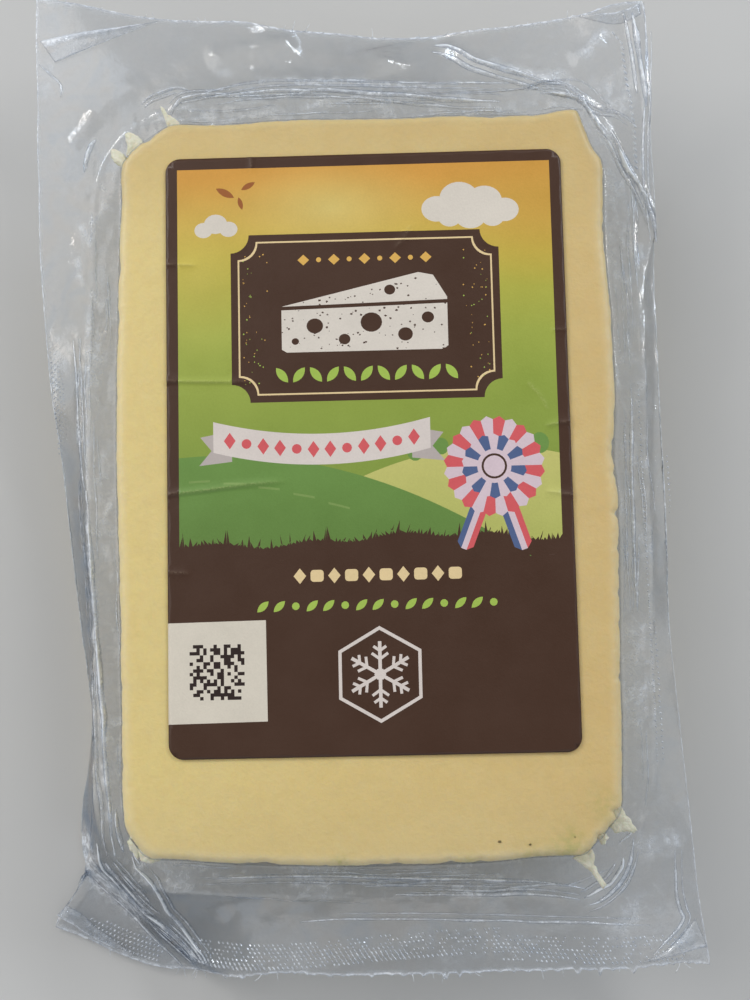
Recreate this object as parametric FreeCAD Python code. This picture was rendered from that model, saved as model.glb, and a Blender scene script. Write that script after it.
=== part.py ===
# Vegan cheese block, 200 g, sealed in a clear vacuum pack with a label on its top.
#
# Units are millimetres. +Z is up and the pack lies flat on its underside.
# +Y runs along the block's length, towards the back of the pack, and +X to the right.
# The origin is the middle of the whole pack's bounding box, on the surface it rests on.
#
# Pieces, one closed solid each:
#   cheese_block  the block of cheese, moulded with blunt corners and soft edges
#   clear_pack    the clear pack drawn tight round the block: one skin over the top and walls and one
#                 under the base, joined in a wide sealed border that stands out at part height and
#                 sags, lifts and folds down as a real one does
#   top_label     the printed label stuck on the pack's top face

import FreeCAD, Part
from FreeCAD import Vector
import math
import os

os.makedirs("parts", exist_ok=True)

# ---------------------------------------------------------------- driving dimensions
BLOCK_WIDTH = 80.0      # across, along X
BLOCK_LENGTH = 121.0    # along Y
BLOCK_HEIGHT = 20.0
BLOCK_EDGE_ROUND = 1.5  # round of the edges of its top and base
BLOCK_CORNER_ROUND = 3.2  # round where a blunted corner meets a side

# How far each upright corner is blunted, along X and along Y
BLUNT_BACK_LEFT = (7.6, 7.6)
BLUNT_BACK_RIGHT = (4.5, 9.0)
BLUNT_FRONT_RIGHT = (8.0, 9.0)
BLUNT_FRONT_LEFT = (7.0, 7.8)

SKIN = 0.15             # thickness of the skin round the block
BORDER_THICK = 0.30     # two skins sealed together
BORDER_ROOT = 13.5      # height at which the sealed border leaves the block's walls
BORDER_SETTLE = 8.5     # distance from the wall over which it reaches its own height
BORDER_LOWEST = 0.4     # height of its middle where it folds down to the surface below

# The sealed border's outer edge: at each station, how far it stands out from the block's side
# and how high it is. Side stations are evenly spaced from the front to the back, and end
# stations from left to right. The corners are given apart.
CORNER_FRONT_LEFT = (15.1, 12.9, 2.0)    # out in X, out in Y, height
CORNER_FRONT_RIGHT = (13.9, 18.9, 10.0)
CORNER_BACK_RIGHT = (9.2, 21.7, 14.0)
CORNER_BACK_LEFT = (16.0, 26.6, 12.0)
LEFT_SIDE = ((10.2, 1.9), (9.5, 3.5), (11.7, 6.6), (14.0, 9.4), (15.4, 11.0), (15.8, 11.9))
RIGHT_SIDE = ((11.3, 12.0), (9.6, 12.0), (9.6, 11.2), (9.5, 11.3), (9.5, 12.1), (9.6, 13.0))
FRONT_END = ((19.7, 1.5), (19.7, 9.0), (19.1, 10.0), (19.2, 10.0), (18.9, 10.5), (18.8, 10.4))
BACK_END = ((23.8, 11.3), (22.3, 10.5), (21.1, 8.3), (20.0, 7.0), (19.3, 10.3), (19.8, 12.9))

LABEL_WIDTH = 65.0
LABEL_LENGTH = 97.6
LABEL_THICK = 0.12
LABEL_CORNER = 2.0
LABEL_OFF_X = 0.5       # label's middle from the block's middle
LABEL_OFF_Y = 5.2

PATCH_ACROSS = 23       # rows of the border's surface
PATCH_ALONG = 33


# ---------------------------------------------------------------- outline of the block
def block_corners(grow):
    """The block's eight outline corners, anticlockwise from the front, grown outwards by grow."""
    hx, hy = BLOCK_WIDTH / 2, BLOCK_LENGTH / 2
    (flx, fly), (frx, fry) = BLUNT_FRONT_LEFT, BLUNT_FRONT_RIGHT
    (blx, bly), (brx, bry) = BLUNT_BACK_LEFT, BLUNT_BACK_RIGHT
    raw = [
        (-hx + flx, -hy), (hx - frx, -hy),
        (hx, -hy + fry), (hx, hy - bry),
        (hx - brx, hy), (-hx + blx, hy),
        (-hx, hy - bly), (-hx, -hy + fly),
    ]
    if not grow:
        return raw
    lines = []
    for k in range(8):
        (x0, y0), (x1, y1) = raw[k], raw[(k + 1) % 8]
        run = math.hypot(x1 - x0, y1 - y0)
        nx, ny = (y1 - y0) / run, -(x1 - x0) / run
        lines.append((nx, ny, nx * x0 + ny * y0 + grow))
    grown = []
    for k in range(8):
        a1, b1, c1 = lines[k - 1]
        a2, b2, c2 = lines[k]
        det = a1 * b2 - a2 * b1
        grown.append(((c1 * b2 - c2 * b1) / det, (a1 * c2 - a2 * c1) / det))
    return grown


def rounded_wire(corners, radius, z):
    """A closed wire through these corners, each rounded by an arc."""
    count = len(corners)
    spans = []
    for k in range(count):
        before = Vector(*corners[k - 1], z)
        here = Vector(*corners[k], z)
        after = Vector(*corners[(k + 1) % count], z)
        back = (before - here).normalize()
        on = (after - here).normalize()
        half = back.getAngle(on) / 2
        cut = radius / math.tan(half)
        start, end = here + back * cut, here + on * cut
        to_middle = (back + on).normalize()
        middle = here + to_middle * (radius / math.sin(half) - radius)
        spans.append((start, middle, end))
    edges = []
    for k in range(count):
        start, middle, end = spans[k]
        edges.append(Part.Arc(start, middle, end).toShape())
        edges.append(Part.LineSegment(end, spans[(k + 1) % count][0]).toShape())
    return Part.Wire(edges)


def rounded_block(grow, base):
    """The block's form grown by grow on every side, standing on the height base."""
    wire = rounded_wire(block_corners(grow), BLOCK_CORNER_ROUND + grow, base)
    solid = Part.Face(wire).extrude(Vector(0, 0, BLOCK_HEIGHT + 2 * grow))
    level = [
        edge for edge in solid.Edges
        if abs(edge.BoundBox.ZMax - edge.BoundBox.ZMin) < 1e-6
    ]
    return solid.makeFillet(BLOCK_EDGE_ROUND + grow, level).Solids[0]


# ---------------------------------------------------------------- the sealed border
def through(stations, t):
    """A smooth curve through evenly spaced stations, at t from 0 to 1."""
    last = len(stations) - 1
    place = min(max(t, 0.0), 1.0) * last
    k = min(int(place), last - 1)
    f = place - k
    found = []
    for axis in range(len(stations[0])):
        p1, p2 = stations[k][axis], stations[k + 1][axis]
        p0 = stations[k - 1][axis] if k else 2 * p1 - p2
        p3 = stations[k + 2][axis] if k + 2 <= last else 2 * p2 - p1
        found.append(
            0.5 * (2 * p1 + (p2 - p0) * f + (2 * p0 - 5 * p1 + 4 * p2 - p3) * f * f
                   + (3 * p1 - p0 - 3 * p2 + p3) * f ** 3)
        )
    return found


HX, HY = BLOCK_WIDTH / 2, BLOCK_LENGTH / 2
FRONT_LEFT = (-HX - CORNER_FRONT_LEFT[0], -HY - CORNER_FRONT_LEFT[1], CORNER_FRONT_LEFT[2])
FRONT_RIGHT = (HX + CORNER_FRONT_RIGHT[0], -HY - CORNER_FRONT_RIGHT[1], CORNER_FRONT_RIGHT[2])
BACK_RIGHT = (HX + CORNER_BACK_RIGHT[0], HY + CORNER_BACK_RIGHT[1], CORNER_BACK_RIGHT[2])
BACK_LEFT = (-HX - CORNER_BACK_LEFT[0], HY + CORNER_BACK_LEFT[1], CORNER_BACK_LEFT[2])


def side_curve(stations, sign, front, back):
    """Points of a long side's edge, from its front corner to its back corner."""
    count = len(stations)
    points = [front]
    for k, (out, high) in enumerate(stations):
        share = (k + 1.0) / (count + 1)
        points.append((sign * (HX + out), front[1] + (back[1] - front[1]) * share, high))
    return points + [back]


def end_curve(stations, sign, left, right):
    """Points of an end's edge, from its left corner to its right corner."""
    count = len(stations)
    points = [left]
    for k, (out, high) in enumerate(stations):
        share = (k + 1.0) / (count + 1)
        points.append((left[0] + (right[0] - left[0]) * share, sign * (HY + out), high))
    return points + [right]


LEFT = side_curve(LEFT_SIDE, -1, FRONT_LEFT, BACK_LEFT)
RIGHT = side_curve(RIGHT_SIDE, 1, FRONT_RIGHT, BACK_RIGHT)
FRONT = end_curve(FRONT_END, -1, FRONT_LEFT, FRONT_RIGHT)
BACK = end_curve(BACK_END, 1, BACK_LEFT, BACK_RIGHT)


def away_from_block(x, y):
    """How far a point in plan lies outside the block, below 0 inside it."""
    qx, qy = abs(x) - HX + 6.0, abs(y) - HY + 6.0
    return math.hypot(max(qx, 0), max(qy, 0)) + min(max(qx, qy), 0) - 6.0


def border_point(u, v):
    """The middle of the sealed border: u runs from left to right and v from front to back."""
    left, right = through(LEFT, v), through(RIGHT, v)
    front, back = through(FRONT, u), through(BACK, u)
    found = []
    for axis in range(3):
        corners = (
            (1 - u) * (1 - v) * FRONT_LEFT[axis] + u * (1 - v) * FRONT_RIGHT[axis]
            + (1 - u) * v * BACK_LEFT[axis] + u * v * BACK_RIGHT[axis]
        )
        found.append(
            (1 - u) * left[axis] + u * right[axis]
            + (1 - v) * front[axis] + v * back[axis] - corners
        )
    x, y, z = found
    share = min(max(away_from_block(x, y) / BORDER_SETTLE, 0.0), 1.0)
    share = share * share * (3 - 2 * share)
    return x, y, max(BORDER_ROOT + (z - BORDER_ROOT) * share, BORDER_LOWEST)


def border_solid():
    """The sealed border as one thin curved sheet that also crosses the block."""
    surfaces = []
    for lift in (BORDER_THICK / 2, -BORDER_THICK / 2):
        rows = []
        for i in range(PATCH_ACROSS):
            row = []
            for j in range(PATCH_ALONG):
                x, y, z = border_point(i / (PATCH_ACROSS - 1.0), j / (PATCH_ALONG - 1.0))
                row.append(Vector(x, y, z + lift))
            rows.append(row)
        surface = Part.BSplineSurface()
        surface.buildFromPolesMultsKnots(
            rows,
            [4] + [1] * (PATCH_ACROSS - 4) + [4], [4] + [1] * (PATCH_ALONG - 4) + [4],
            list(range(PATCH_ACROSS - 2)), list(range(PATCH_ALONG - 2)),
            False, False, 3, 3,
        )
        surfaces.append(surface)
    top, under = surfaces
    u0, u1, v0, v1 = top.bounds()
    faces = [top.toShape(), under.toShape()]
    for pick in (
        lambda s: s.uIso(u0), lambda s: s.uIso(u1),
        lambda s: s.vIso(v0), lambda s: s.vIso(v1),
    ):
        faces.append(Part.makeRuledSurface(pick(top).toShape(), pick(under).toShape()))
    sewn = Part.makeCompound(faces)
    sewn.sewShape()
    shell = sewn.Shells[0] if sewn.ShapeType != "Shell" else sewn
    solid = Part.makeSolid(shell)
    if solid.Volume < 0:
        solid.reverse()
    return solid


# ---------------------------------------------------------------- build
cheese = rounded_block(0.0, SKIN)
outer = rounded_block(SKIN, 0.0)
border = border_solid()

pack = outer.fuse(border)
pack = pack.cut(cheese)
solids = [s for s in pack.Solids if s.Volume > 1.0]
pack = solids[0]

label_base = BLOCK_HEIGHT + 2 * SKIN
lx, ly = LABEL_WIDTH / 2, LABEL_LENGTH / 2
label_wire = rounded_wire(
    [
        (LABEL_OFF_X - lx, LABEL_OFF_Y - ly), (LABEL_OFF_X + lx, LABEL_OFF_Y - ly),
        (LABEL_OFF_X + lx, LABEL_OFF_Y + ly), (LABEL_OFF_X - lx, LABEL_OFF_Y + ly),
    ],
    LABEL_CORNER, label_base,
)
label = Part.Face(label_wire).extrude(Vector(0, 0, LABEL_THICK))

# The whole pack is set with the middle of its bounding box over the origin.
whole = Part.makeCompound([cheese, pack, label])
box = whole.optimalBoundingBox(False)
shift = Vector(-(box.XMin + box.XMax) / 2, -(box.YMin + box.YMax) / 2, -box.ZMin)
for name, shape in (("cheese_block", cheese), ("clear_pack", pack), ("top_label", label)):
    shape.translate(shift)
    shape.exportStep("parts/" + name + ".step")
    b = shape.optimalBoundingBox(False)
    print(
        name, "valid", shape.isValid(), "type", shape.ShapeType, "volume", round(shape.Volume, 2),
        "box", [round(q, 3) for q in (b.XMin, b.YMin, b.ZMin, b.XMax, b.YMax, b.ZMax)],
    )
print("shift", [round(q, 4) for q in shift])
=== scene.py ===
# Looks of a block of vegan cheese in its clear vacuum pack: the film, the cheese inside it and the printed label.
# Lengths below are millimetres in the block's own frame: its middle at x = y = 0, the surface it lies on at z = 0.
import bpy
import math
import random
import numpy as np
from mathutils import Matrix, Vector, geometry
from mathutils.bvhtree import BVHTree


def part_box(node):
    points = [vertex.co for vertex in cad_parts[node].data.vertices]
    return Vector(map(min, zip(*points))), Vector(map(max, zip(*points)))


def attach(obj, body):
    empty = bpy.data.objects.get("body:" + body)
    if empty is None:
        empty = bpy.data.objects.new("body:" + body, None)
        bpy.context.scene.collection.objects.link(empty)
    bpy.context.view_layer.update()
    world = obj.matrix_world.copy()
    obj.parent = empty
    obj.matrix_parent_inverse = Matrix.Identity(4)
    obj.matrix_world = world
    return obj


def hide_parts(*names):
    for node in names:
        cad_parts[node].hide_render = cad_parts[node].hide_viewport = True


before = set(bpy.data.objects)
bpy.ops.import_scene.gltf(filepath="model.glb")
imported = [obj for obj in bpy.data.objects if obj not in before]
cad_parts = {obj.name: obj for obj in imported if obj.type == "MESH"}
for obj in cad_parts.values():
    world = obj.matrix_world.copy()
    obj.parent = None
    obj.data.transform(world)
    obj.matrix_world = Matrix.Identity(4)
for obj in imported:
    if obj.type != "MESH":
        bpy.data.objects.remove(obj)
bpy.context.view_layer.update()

lo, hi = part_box("cheese_block")
MID_X, MID_Y = (lo[0] + hi[0]) * 500.0, (lo[1] + hi[1]) * 500.0
HALF_X, HALF_Y = (hi[0] - lo[0]) * 500.0, (hi[1] - lo[1]) * 500.0
BASE, TOP = lo[2] * 1000.0, hi[2] * 1000.0
SKIN = BASE
llo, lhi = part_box("top_label")
LABEL_X0, LABEL_Y1 = llo[0] * 1000.0 - MID_X, lhi[1] * 1000.0 - MID_Y
LABEL_W, LABEL_H = (lhi[0] - llo[0]) * 1000.0, (lhi[1] - llo[1]) * 1000.0
LABEL_BASE, LABEL_TOP = llo[2] * 1000.0, lhi[2] * 1000.0


def to_world(p):
    """Millimetres in the block's frame to metres in the row's frame."""
    p = np.asarray(p, float)
    return (p + np.array([MID_X, MID_Y, 0.0])) * 0.001


# ---------------------------------------------------------------- noise
def lattice(ix, iy, iz, seed):
    h = (ix.astype(np.int64) * 374761393 + iy.astype(np.int64) * 668265263
         + iz.astype(np.int64) * 1274126177 + seed * 974711) & 0xFFFFFFFF
    h = ((h ^ (h >> 13)) * 1103515245) & 0xFFFFFFFF
    h = ((h ^ (h >> 16)) * 668265263) & 0xFFFFFFFF
    return ((h >> 8) & 0xFFFF) / 32767.5 - 1.0


def vnoise(x, y, z=0.0, seed=0):
    """Smooth noise between -1 and 1."""
    x, y, z = np.broadcast_arrays(np.asarray(x, float), np.asarray(y, float), np.asarray(z, float))
    x0, y0, z0 = np.floor(x), np.floor(y), np.floor(z)
    fx, fy, fz = x - x0, y - y0, z - z0
    fx, fy, fz = (f * f * f * (f * (f * 6 - 15) + 10) for f in (fx, fy, fz))
    out = 0.0
    for dx in (0, 1):
        for dy in (0, 1):
            for dz in (0, 1):
                w = (fx if dx else 1 - fx) * (fy if dy else 1 - fy) * (fz if dz else 1 - fz)
                out = out + w * lattice(x0 + dx, y0 + dy, z0 + dz, seed)
    return out


def fbm(x, y, z=0.0, octaves=3, seed=0):
    total, amp, norm = 0.0, 1.0, 0.0
    for k in range(octaves):
        f = 2.03 ** k
        total = total + amp * vnoise(x * f + 17.3 * k, y * f - 9.1 * k, z * f, seed + 31 * k)
        norm += amp
        amp *= 0.5
    return total / norm


def smooth(a, b, x):
    t = np.clip((np.asarray(x, float) - a) / (b - a), 0.0, 1.0)
    return t * t * (3 - 2 * t)


# ---------------------------------------------------------------- the pack's cut edge
# Clockwise from the back left corner: x, y and height of the sealed border's outer edge.
BACK_EDGE = (
    (-55.9, 87.1, 12.0), (-53.4, 86.5, 12.0), (-45.6, 85.2, 11.5), (-35.4, 83.5, 11.0), (-25.0, 82.7, 10.5),
    (-18.8, 82.5, 9.5), (-12.5, 81.7, 8.5), (-4.1, 81.4, 7.5), (3.0, 80.5, 7.0), (11.5, 80.2, 7.5),
    (17.7, 79.8, 10.0), (27.8, 79.9, 12.0), (38.5, 80.7, 13.3), (44.1, 81.9, 13.8), (48.9, 82.2, 14.0))
RIGHT_EDGE = (
    (48.9, 82.2, 14.0), (49.3, 79.7, 14.0), (49.6, 72.6, 13.5), (49.8, 65.5, 13.2), (49.6, 56.4, 13.0),
    (49.9, 44.9, 12.5), (49.5, 38.2, 12.2), (49.5, 25.2, 11.8), (49.5, 8.9, 11.2), (49.6, -7.1, 11.2),
    (49.5, -18.5, 11.6), (49.5, -30.0, 12.0), (50.5, -43.6, 12.0), (51.5, -58.8, 12.0), (52.3, -68.3, 11.5),
    (53.7, -77.7, 10.5), (53.9, -79.3, 10.0))
FRONT_EDGE = (
    (53.9, -79.3, 10.0), (49.9, -78.9, 10.0), (41.2, -79.4, 10.4), (32.0, -79.2, 10.6), (22.7, -79.4, 10.5),
    (13.1, -79.6, 10.2), (-0.5, -79.8, 10.0), (-7.0, -79.8, 10.0), (-14.8, -79.3, 10.2), (-22.7, -79.9, 9.5),
    (-29.0, -80.8, 7.0), (-32.0, -81.0, 5.0), (-38.4, -80.3, 1.6), (-45.0, -78.0, 1.2), (-49.6, -75.8, 1.0),
    (-55.4, -73.7, 0.8))
LEFT_EDGE = (
    (-55.4, -73.7, 0.8), (-54.7, -71.6, 0.9), (-52.4, -68.6, 1.0), (-50.1, -64.6, 1.2), (-50.6, -60.8, 1.3),
    (-50.8, -57.6, 1.4), (-50.5, -52.7, 1.7), (-49.6, -47.9, 2.0), (-48.8, -41.8, 2.4), (-48.7, -36.5, 2.8),
    (-49.5, -28.2, 3.5), (-50.0, -24.9, 3.8), (-50.9, -15.8, 5.0), (-51.6, -6.9, 6.3), (-52.0, -0.3, 7.4),
    (-52.8, 8.6, 8.5), (-53.9, 16.8, 9.3), (-54.7, 28.3, 10.2), (-55.0, 33.6, 10.6), (-55.6, 44.0, 11.2),
    (-55.7, 56.6, 11.6), (-55.8, 69.2, 12.0), (-56.0, 77.9, 12.0), (-55.9, 87.1, 12.0))

# Folds and creases of the film: name, sharp or soft, height, half width, and the line each follows.
FOLDS = (
    ("top_rim_crease", "sharp", 0.35, 0.45, ((-28.1, 68.1), (-24.8, 69.1), (-20.4, 70.0), (-15.3, 70.7), (-8.4, 70.7), (0.3, 70.5), (8.9, 70.0), (15.7, 69.4), (20.8, 69.1), (27.7, 68.6))),
    ("top_fold_wide", "soft", 0.60, 2.60, ((-10.1, 79.7), (-15.3, 77.6), (-20.9, 75.5), (-26.7, 74.5))),
    ("top_lobe", "soft", 1.00, 4.00, ((3.8, 78.4), (4.6, 74.8), (5.4, 72.2))),
    ("top_step", "soft", -0.60, 2.20, ((-27.6, 72.6), (-20.6, 74.0), (-10.1, 74.4), (-3.2, 73.8))),
    ("top_wall_fold", "sharp", 0.40, 0.60, ((-30.7, 66.8), (-24.7, 67.7), (-16.9, 68.6), (-6.6, 68.6), (3.6, 67.6), (13.9, 66.2), (24.1, 65.5))),
    ("tr_bright_0", "sharp", 0.85, 0.95, ((13.5, 78.2), (15.2, 77.4), (17.6, 75.7), (20.1, 73.5), (24.4, 71.6), (29.4, 69.6), (32.3, 68.5), (34.5, 68.4))),
    ("tr_arc_1", "sharp", 0.55, 0.50, ((27.6, 68.4), (34.5, 68.3), (36.7, 67.2), (38.7, 65.3), (40.8, 63.7), (44.0, 62.9), (46.3, 61.1), (47.2, 60.1))),
    ("tr_arc_2", "sharp", 0.60, 0.45, ((31.0, 66.8), (36.6, 65.7), (38.1, 65.0), (39.4, 62.7))),
    ("tr_arc_3", "sharp", 0.45, 0.40, ((38.0, 64.8), (39.8, 62.4), (41.3, 59.9), (42.1, 58.3))),
    ("tr_ridge_4", "sharp", 0.80, 0.70, ((41.3, 60.9), (42.0, 59.8), (43.6, 57.7), (45.1, 53.6), (46.4, 51.1), (47.6, 48.9), (48.4, 46.8), (49.6, 43.5), (50.1, 40.3))),
    ("tr_edge_roll", "soft", 0.45, 0.90, ((46.5, 80.8), (46.9, 78.4), (47.7, 73.8), (48.3, 68.4), (49.4, 64.3), (49.6, 61.1))),
    ("tr_inner_line", "sharp", 0.35, 0.35, ((49.2, 81.9), (49.3, 76.8), (49.0, 69.2), (48.5, 62.1), (47.9, 52.1), (48.2, 47.2), (48.9, 40.3))),
    ("tr_fuzzy", "soft", 0.80, 1.60, ((36.6, 71.7), (39.0, 73.2), (40.9, 74.9), (42.4, 76.3))),
    ("tr_hollow", "soft", -0.80, 4.00, ((41.4, 70.4), (43.3, 67.7), (44.3, 65.4))),
    ("tl_bright", "soft", 0.80, 1.00, ((-49.6, 59.2), (-48.9, 60.7), (-47.8, 62.4), (-46.2, 64.5), (-45.1, 65.9))),
    ("tl_arc_1", "sharp", 0.50, 0.50, ((-47.4, 55.1), (-46.9, 57.5), (-46.2, 59.5), (-45.3, 60.8))),
    ("tl_arc_2", "sharp", 0.60, 0.50, ((-37.5, 66.9), (-36.3, 68.0), (-34.5, 68.8), (-31.5, 69.7), (-29.1, 69.1))),
    ("tl_arc_3", "sharp", 0.50, 0.50, ((-32.6, 64.6), (-31.8, 66.3), (-30.8, 67.5), (-29.0, 68.0), (-26.9, 68.1), (-22.1, 68.2))),
    ("tl_crease", "sharp", 0.14, 0.22, ((-55.5, 74.9), (-53.2, 72.7), (-51.6, 70.9), (-51.6, 68.7))),
    ("tl_long", "soft", 0.50, 1.60, ((-45.7, 64.9), (-43.9, 67.4), (-41.3, 69.1), (-38.7, 70.1), (-36.1, 71.5))),
    ("left_fold_a", "soft", 0.26, 1.60, ((-47.5, 56.4), (-47.8, 50.2), (-48.1, 43.2), (-48.5, 38.0), (-48.1, 31.0), (-47.8, 24.1))),
    ("left_fold_b", "sharp", 0.35, 0.40, ((-49.4, 26.0), (-48.9, 20.8), (-48.6, 15.7), (-48.2, 7.1), (-47.7, 2.1), (-46.9, -1.3))),
    ("left_fold_c", "soft", 0.25, 1.00, ((-46.7, 32.7), (-46.3, 25.7), (-45.8, 18.9), (-45.6, 10.4), (-45.3, 5.3))),
    ("left_ridge", "sharp", 0.90, 0.75, ((-46.9, 0.0), (-46.3, -8.9), (-45.6, -18.6), (-44.8, -28.1), (-44.1, -37.2), (-43.7, -46.0), (-43.0, -51.4), (-42.8, -56.4), (-42.3, -59.6))),
    ("left_ridge_foot", "soft", -0.50, 1.60, ((-48.1, -8.9), (-47.4, -18.6), (-46.6, -28.1), (-45.9, -37.2), (-45.5, -46.0), (-44.8, -51.4))),
    ("bl_fold", "sharp", -0.60, 0.80, ((-50.1, -64.9), (-47.2, -67.6), (-43.7, -70.7), (-41.5, -73.0), (-39.4, -75.4), (-37.3, -77.4), (-35.1, -79.5), (-33.1, -81.6))),
    ("bl_ridge_2", "sharp", 0.80, 0.70, ((-45.7, -57.9), (-44.8, -62.3), (-42.8, -65.0), (-41.1, -67.5), (-39.2, -69.9), (-37.1, -71.6), (-35.6, -72.8), (-33.5, -74.7), (-32.0, -76.5), (-30.0, -78.8))),
    ("bl_ridge_3", "sharp", 0.70, 0.60, ((-44.3, -60.8), (-42.3, -63.6), (-40.7, -65.9), (-39.4, -67.9), (-37.9, -69.6), (-36.6, -70.9))),
    ("bl_ridge_3b", "sharp", 0.50, 0.45, ((-42.6, -60.6), (-41.0, -62.3), (-39.5, -64.2), (-38.0, -66.3), (-37.3, -68.0))),
    ("bl_ridge_4", "sharp", 0.90, 0.60, ((-39.4, -59.7), (-38.7, -61.5), (-37.3, -62.9), (-36.1, -64.2), (-35.5, -65.8), (-35.0, -67.7), (-34.5, -69.6), (-32.9, -71.9), (-31.6, -74.1), (-30.4, -75.9), (-28.7, -77.8))),
    ("bl_ridge_5", "sharp", 0.60, 0.45, ((-42.1, -52.1), (-41.9, -54.0), (-41.4, -56.5), (-40.8, -58.9))),
    ("bl_ridge_6", "sharp", 0.50, 0.40, ((-40.2, -55.3), (-39.3, -56.4), (-38.6, -57.9), (-39.0, -59.1), (-38.1, -61.0))),
    ("bl_bundle_1", "sharp", 0.35, 0.35, ((-38.2, -73.3), (-36.0, -75.4), (-33.8, -77.4), (-31.5, -79.9))),
    ("bl_bundle_2", "sharp", 0.35, 0.35, ((-36.5, -72.3), (-34.5, -74.3), (-32.4, -76.4), (-30.4, -78.7))),
    ("bl_bundle_3", "sharp", 0.35, 0.35, ((-34.6, -71.9), (-32.6, -74.1), (-30.6, -76.3), (-28.8, -78.8))),
    ("br_crescent_1", "sharp", 0.75, 0.60, ((39.9, -61.4), (39.7, -62.6), (39.1, -63.6), (37.9, -65.2), (37.0, -65.8), (35.8, -66.4), (34.7, -67.1), (33.5, -67.7))),
    ("br_crescent_2", "sharp", 0.50, 0.50, ((41.7, -58.3), (41.4, -60.2), (41.0, -62.2), (39.8, -65.0), (37.9, -67.0), (35.8, -68.3), (34.0, -68.9))),
    ("br_fan", "soft", 0.45, 1.20, ((41.8, -60.4), (44.5, -60.3), (47.5, -59.9), (49.4, -59.3))),
    ("br_crease", "sharp", 0.26, 0.30, ((48.5, -60.5), (48.5, -63.8), (48.6, -67.3), (49.2, -70.2), (49.7, -71.3), (49.3, -72.5), (48.3, -73.9), (46.2, -76.0), (44.7, -77.6))),
    ("br_spot", "soft", 0.70, 0.70, ((42.4, -54.1), (42.6, -55.7), (42.6, -56.8))),
    ("br_tick", "sharp", 0.40, 0.35, ((41.8, -56.8), (40.8, -57.9), (39.4, -58.9))),
    ("right_fold_1", "sharp", 0.25, 0.40, ((44.3, 15.9), (44.3, 11.5), (44.0, 1.5), (43.8, -6.9), (43.7, -13.5), (43.9, -22.0))),
    ("right_fold_2", "soft", 0.30, 1.40, ((50.2, 15.0), (49.8, 6.5), (49.5, -0.2), (49.2, -6.9), (49.3, -20.2))),
    ("right_fold_3", "soft", -0.35, 1.60, ((49.2, 39.1), (49.3, 25.3), (49.1, 9.9), (48.7, -6.9))),
    ("right_low_fold", "soft", 0.50, 1.60, ((43.5, -21.7), (43.9, -28.2), (43.9, -36.4), (43.7, -44.4), (43.2, -52.4))),
    ("bottom_rim_1", "sharp", 0.40, 0.45, ((-28.4, -63.3), (-22.0, -63.3), (-12.2, -63.2), (-5.8, -63.4), (3.9, -63.9), (12.0, -64.2), (23.3, -64.6), (29.7, -65.3), (33.6, -66.2))),
    ("bottom_rim_2", "sharp", 0.30, 0.40, ((3.1, -66.5), (8.7, -66.5), (16.8, -66.8), (23.2, -66.7), (29.6, -67.3), (32.8, -67.8))),
    ("bottom_soft", "soft", 0.16, 3.00, ((-12.4, -68.6), (0.6, -69.3), (16.8, -69.9), (29.7, -70.6))),
    ("bottom_hollow", "soft", -0.30, 3.00, ((-27.1, -68.0), (-20.6, -67.3), (-12.4, -67.0), (-2.6, -67.2))),
    ("seal_line", "sharp", 0.10, 0.30, ((-12.5, -70.8), (-6.0, -70.4), (7.0, -70.6), (23.3, -71.2), (36.2, -71.9), (44.2, -72.5))),
)

# Where the film is painted lighter, as milky haze in some bands and as painted highlights and painted reflections along
# the bright folds in others: how much, half width, and the line it follows.
HAZE_AND_HIGHLIGHT_BANDS = (
    (0.30, 1.1, ((43.1, -21.7), (43.0, -28.2), (43.2, -36.3), (42.9, -42.7))),
    (0.34, 1.0, ((-21.3, 69.1), (-16.9, 70.4), (-10.0, 70.6), (-1.5, 70.0), (10.5, 69.1), (20.8, 68.2))),
    (0.22, 0.6, ((-11.8, 65.8), (-3.2, 66.1), (6.2, 65.3))),
    (0.45, 0.8, ((-48.7, 46.2), (-47.7, 45.0), (-47.0, 43.4), (-46.6, 41.8))),
    (0.55, 0.7, ((-48.3, 40.6), (-48.3, 38.2), (-48.2, 35.1))),
    (0.35, 0.7, ((-46.3, 34.7), (-45.6, 33.6), (-45.1, 32.4), (-43.6, 31.1))),
    (0.34, 1.0, ((-46.4, 31.6), (-46.1, 28.8), (-45.6, 25.7), (-45.1, 22.9), (-44.9, 18.8))),
    (0.16, 1.8, ((-55.0, 77.0), (-54.0, 74.0), (-53.4, 71.4), (-54.8, 67.0))),
    (0.30, 0.6, ((46.9, 40.4), (47.0, 38.7), (47.6, 36.6))),
    (0.6, 0.5, ((-46.9, 0.0), (-46.3, -8.9), (-45.6, -18.6), (-44.8, -28.1), (-44.1, -37.2), (-43.7, -46.0), (-43.0, -51.4), (-42.8, -56.4), (-42.3, -59.6))),
    (1.0, 2.4, ((-49.8, -54.5), (-50.1, -58.5), (-47.9, -64.5), (-45.6, -66.8), (-43.2, -68.3), (-40.2, -70.3), (-37.3, -72.0))),
    (0.45, 1.1, ((41.2, -60.3), (44.2, -59.7), (47.4, -59.0), (51.0, -58.1))),
    (0.32, 1.8, ((40.6, -67.3), (41.7, -68.9), (41.0, -71.1), (39.3, -73.1), (37.1, -75.4))),
    (0.50, 1.0, ((37.5, 72.0), (39.5, 74.1), (41.6, 76.3), (43.6, 77.9))),
    (0.26, 3.0, ((41.4, 70.1), (43.8, 65.9), (44.8, 61.8))),
    (0.75, 0.8, ((21.3, 74.0), (25.2, 72.1), (30.6, 69.6), (34.9, 69.8), (37.9, 67.6))),
    (0.50, 0.6, ((37.3, 65.3), (39.2, 63.3), (41.0, 60.8), (42.7, 57.3), (44.3, 54.1), (45.9, 51.4), (47.2, 48.4), (48.9, 44.9))),
)

SHEET = 0.2          # thickness of the sealed border as it shows
ROOT = 13.1          # height at which the border leaves the wall
RIM = 6.5            # distance from the wall of the pocket's rim, where the smooth border starts
LOWEST = 0.42


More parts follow.
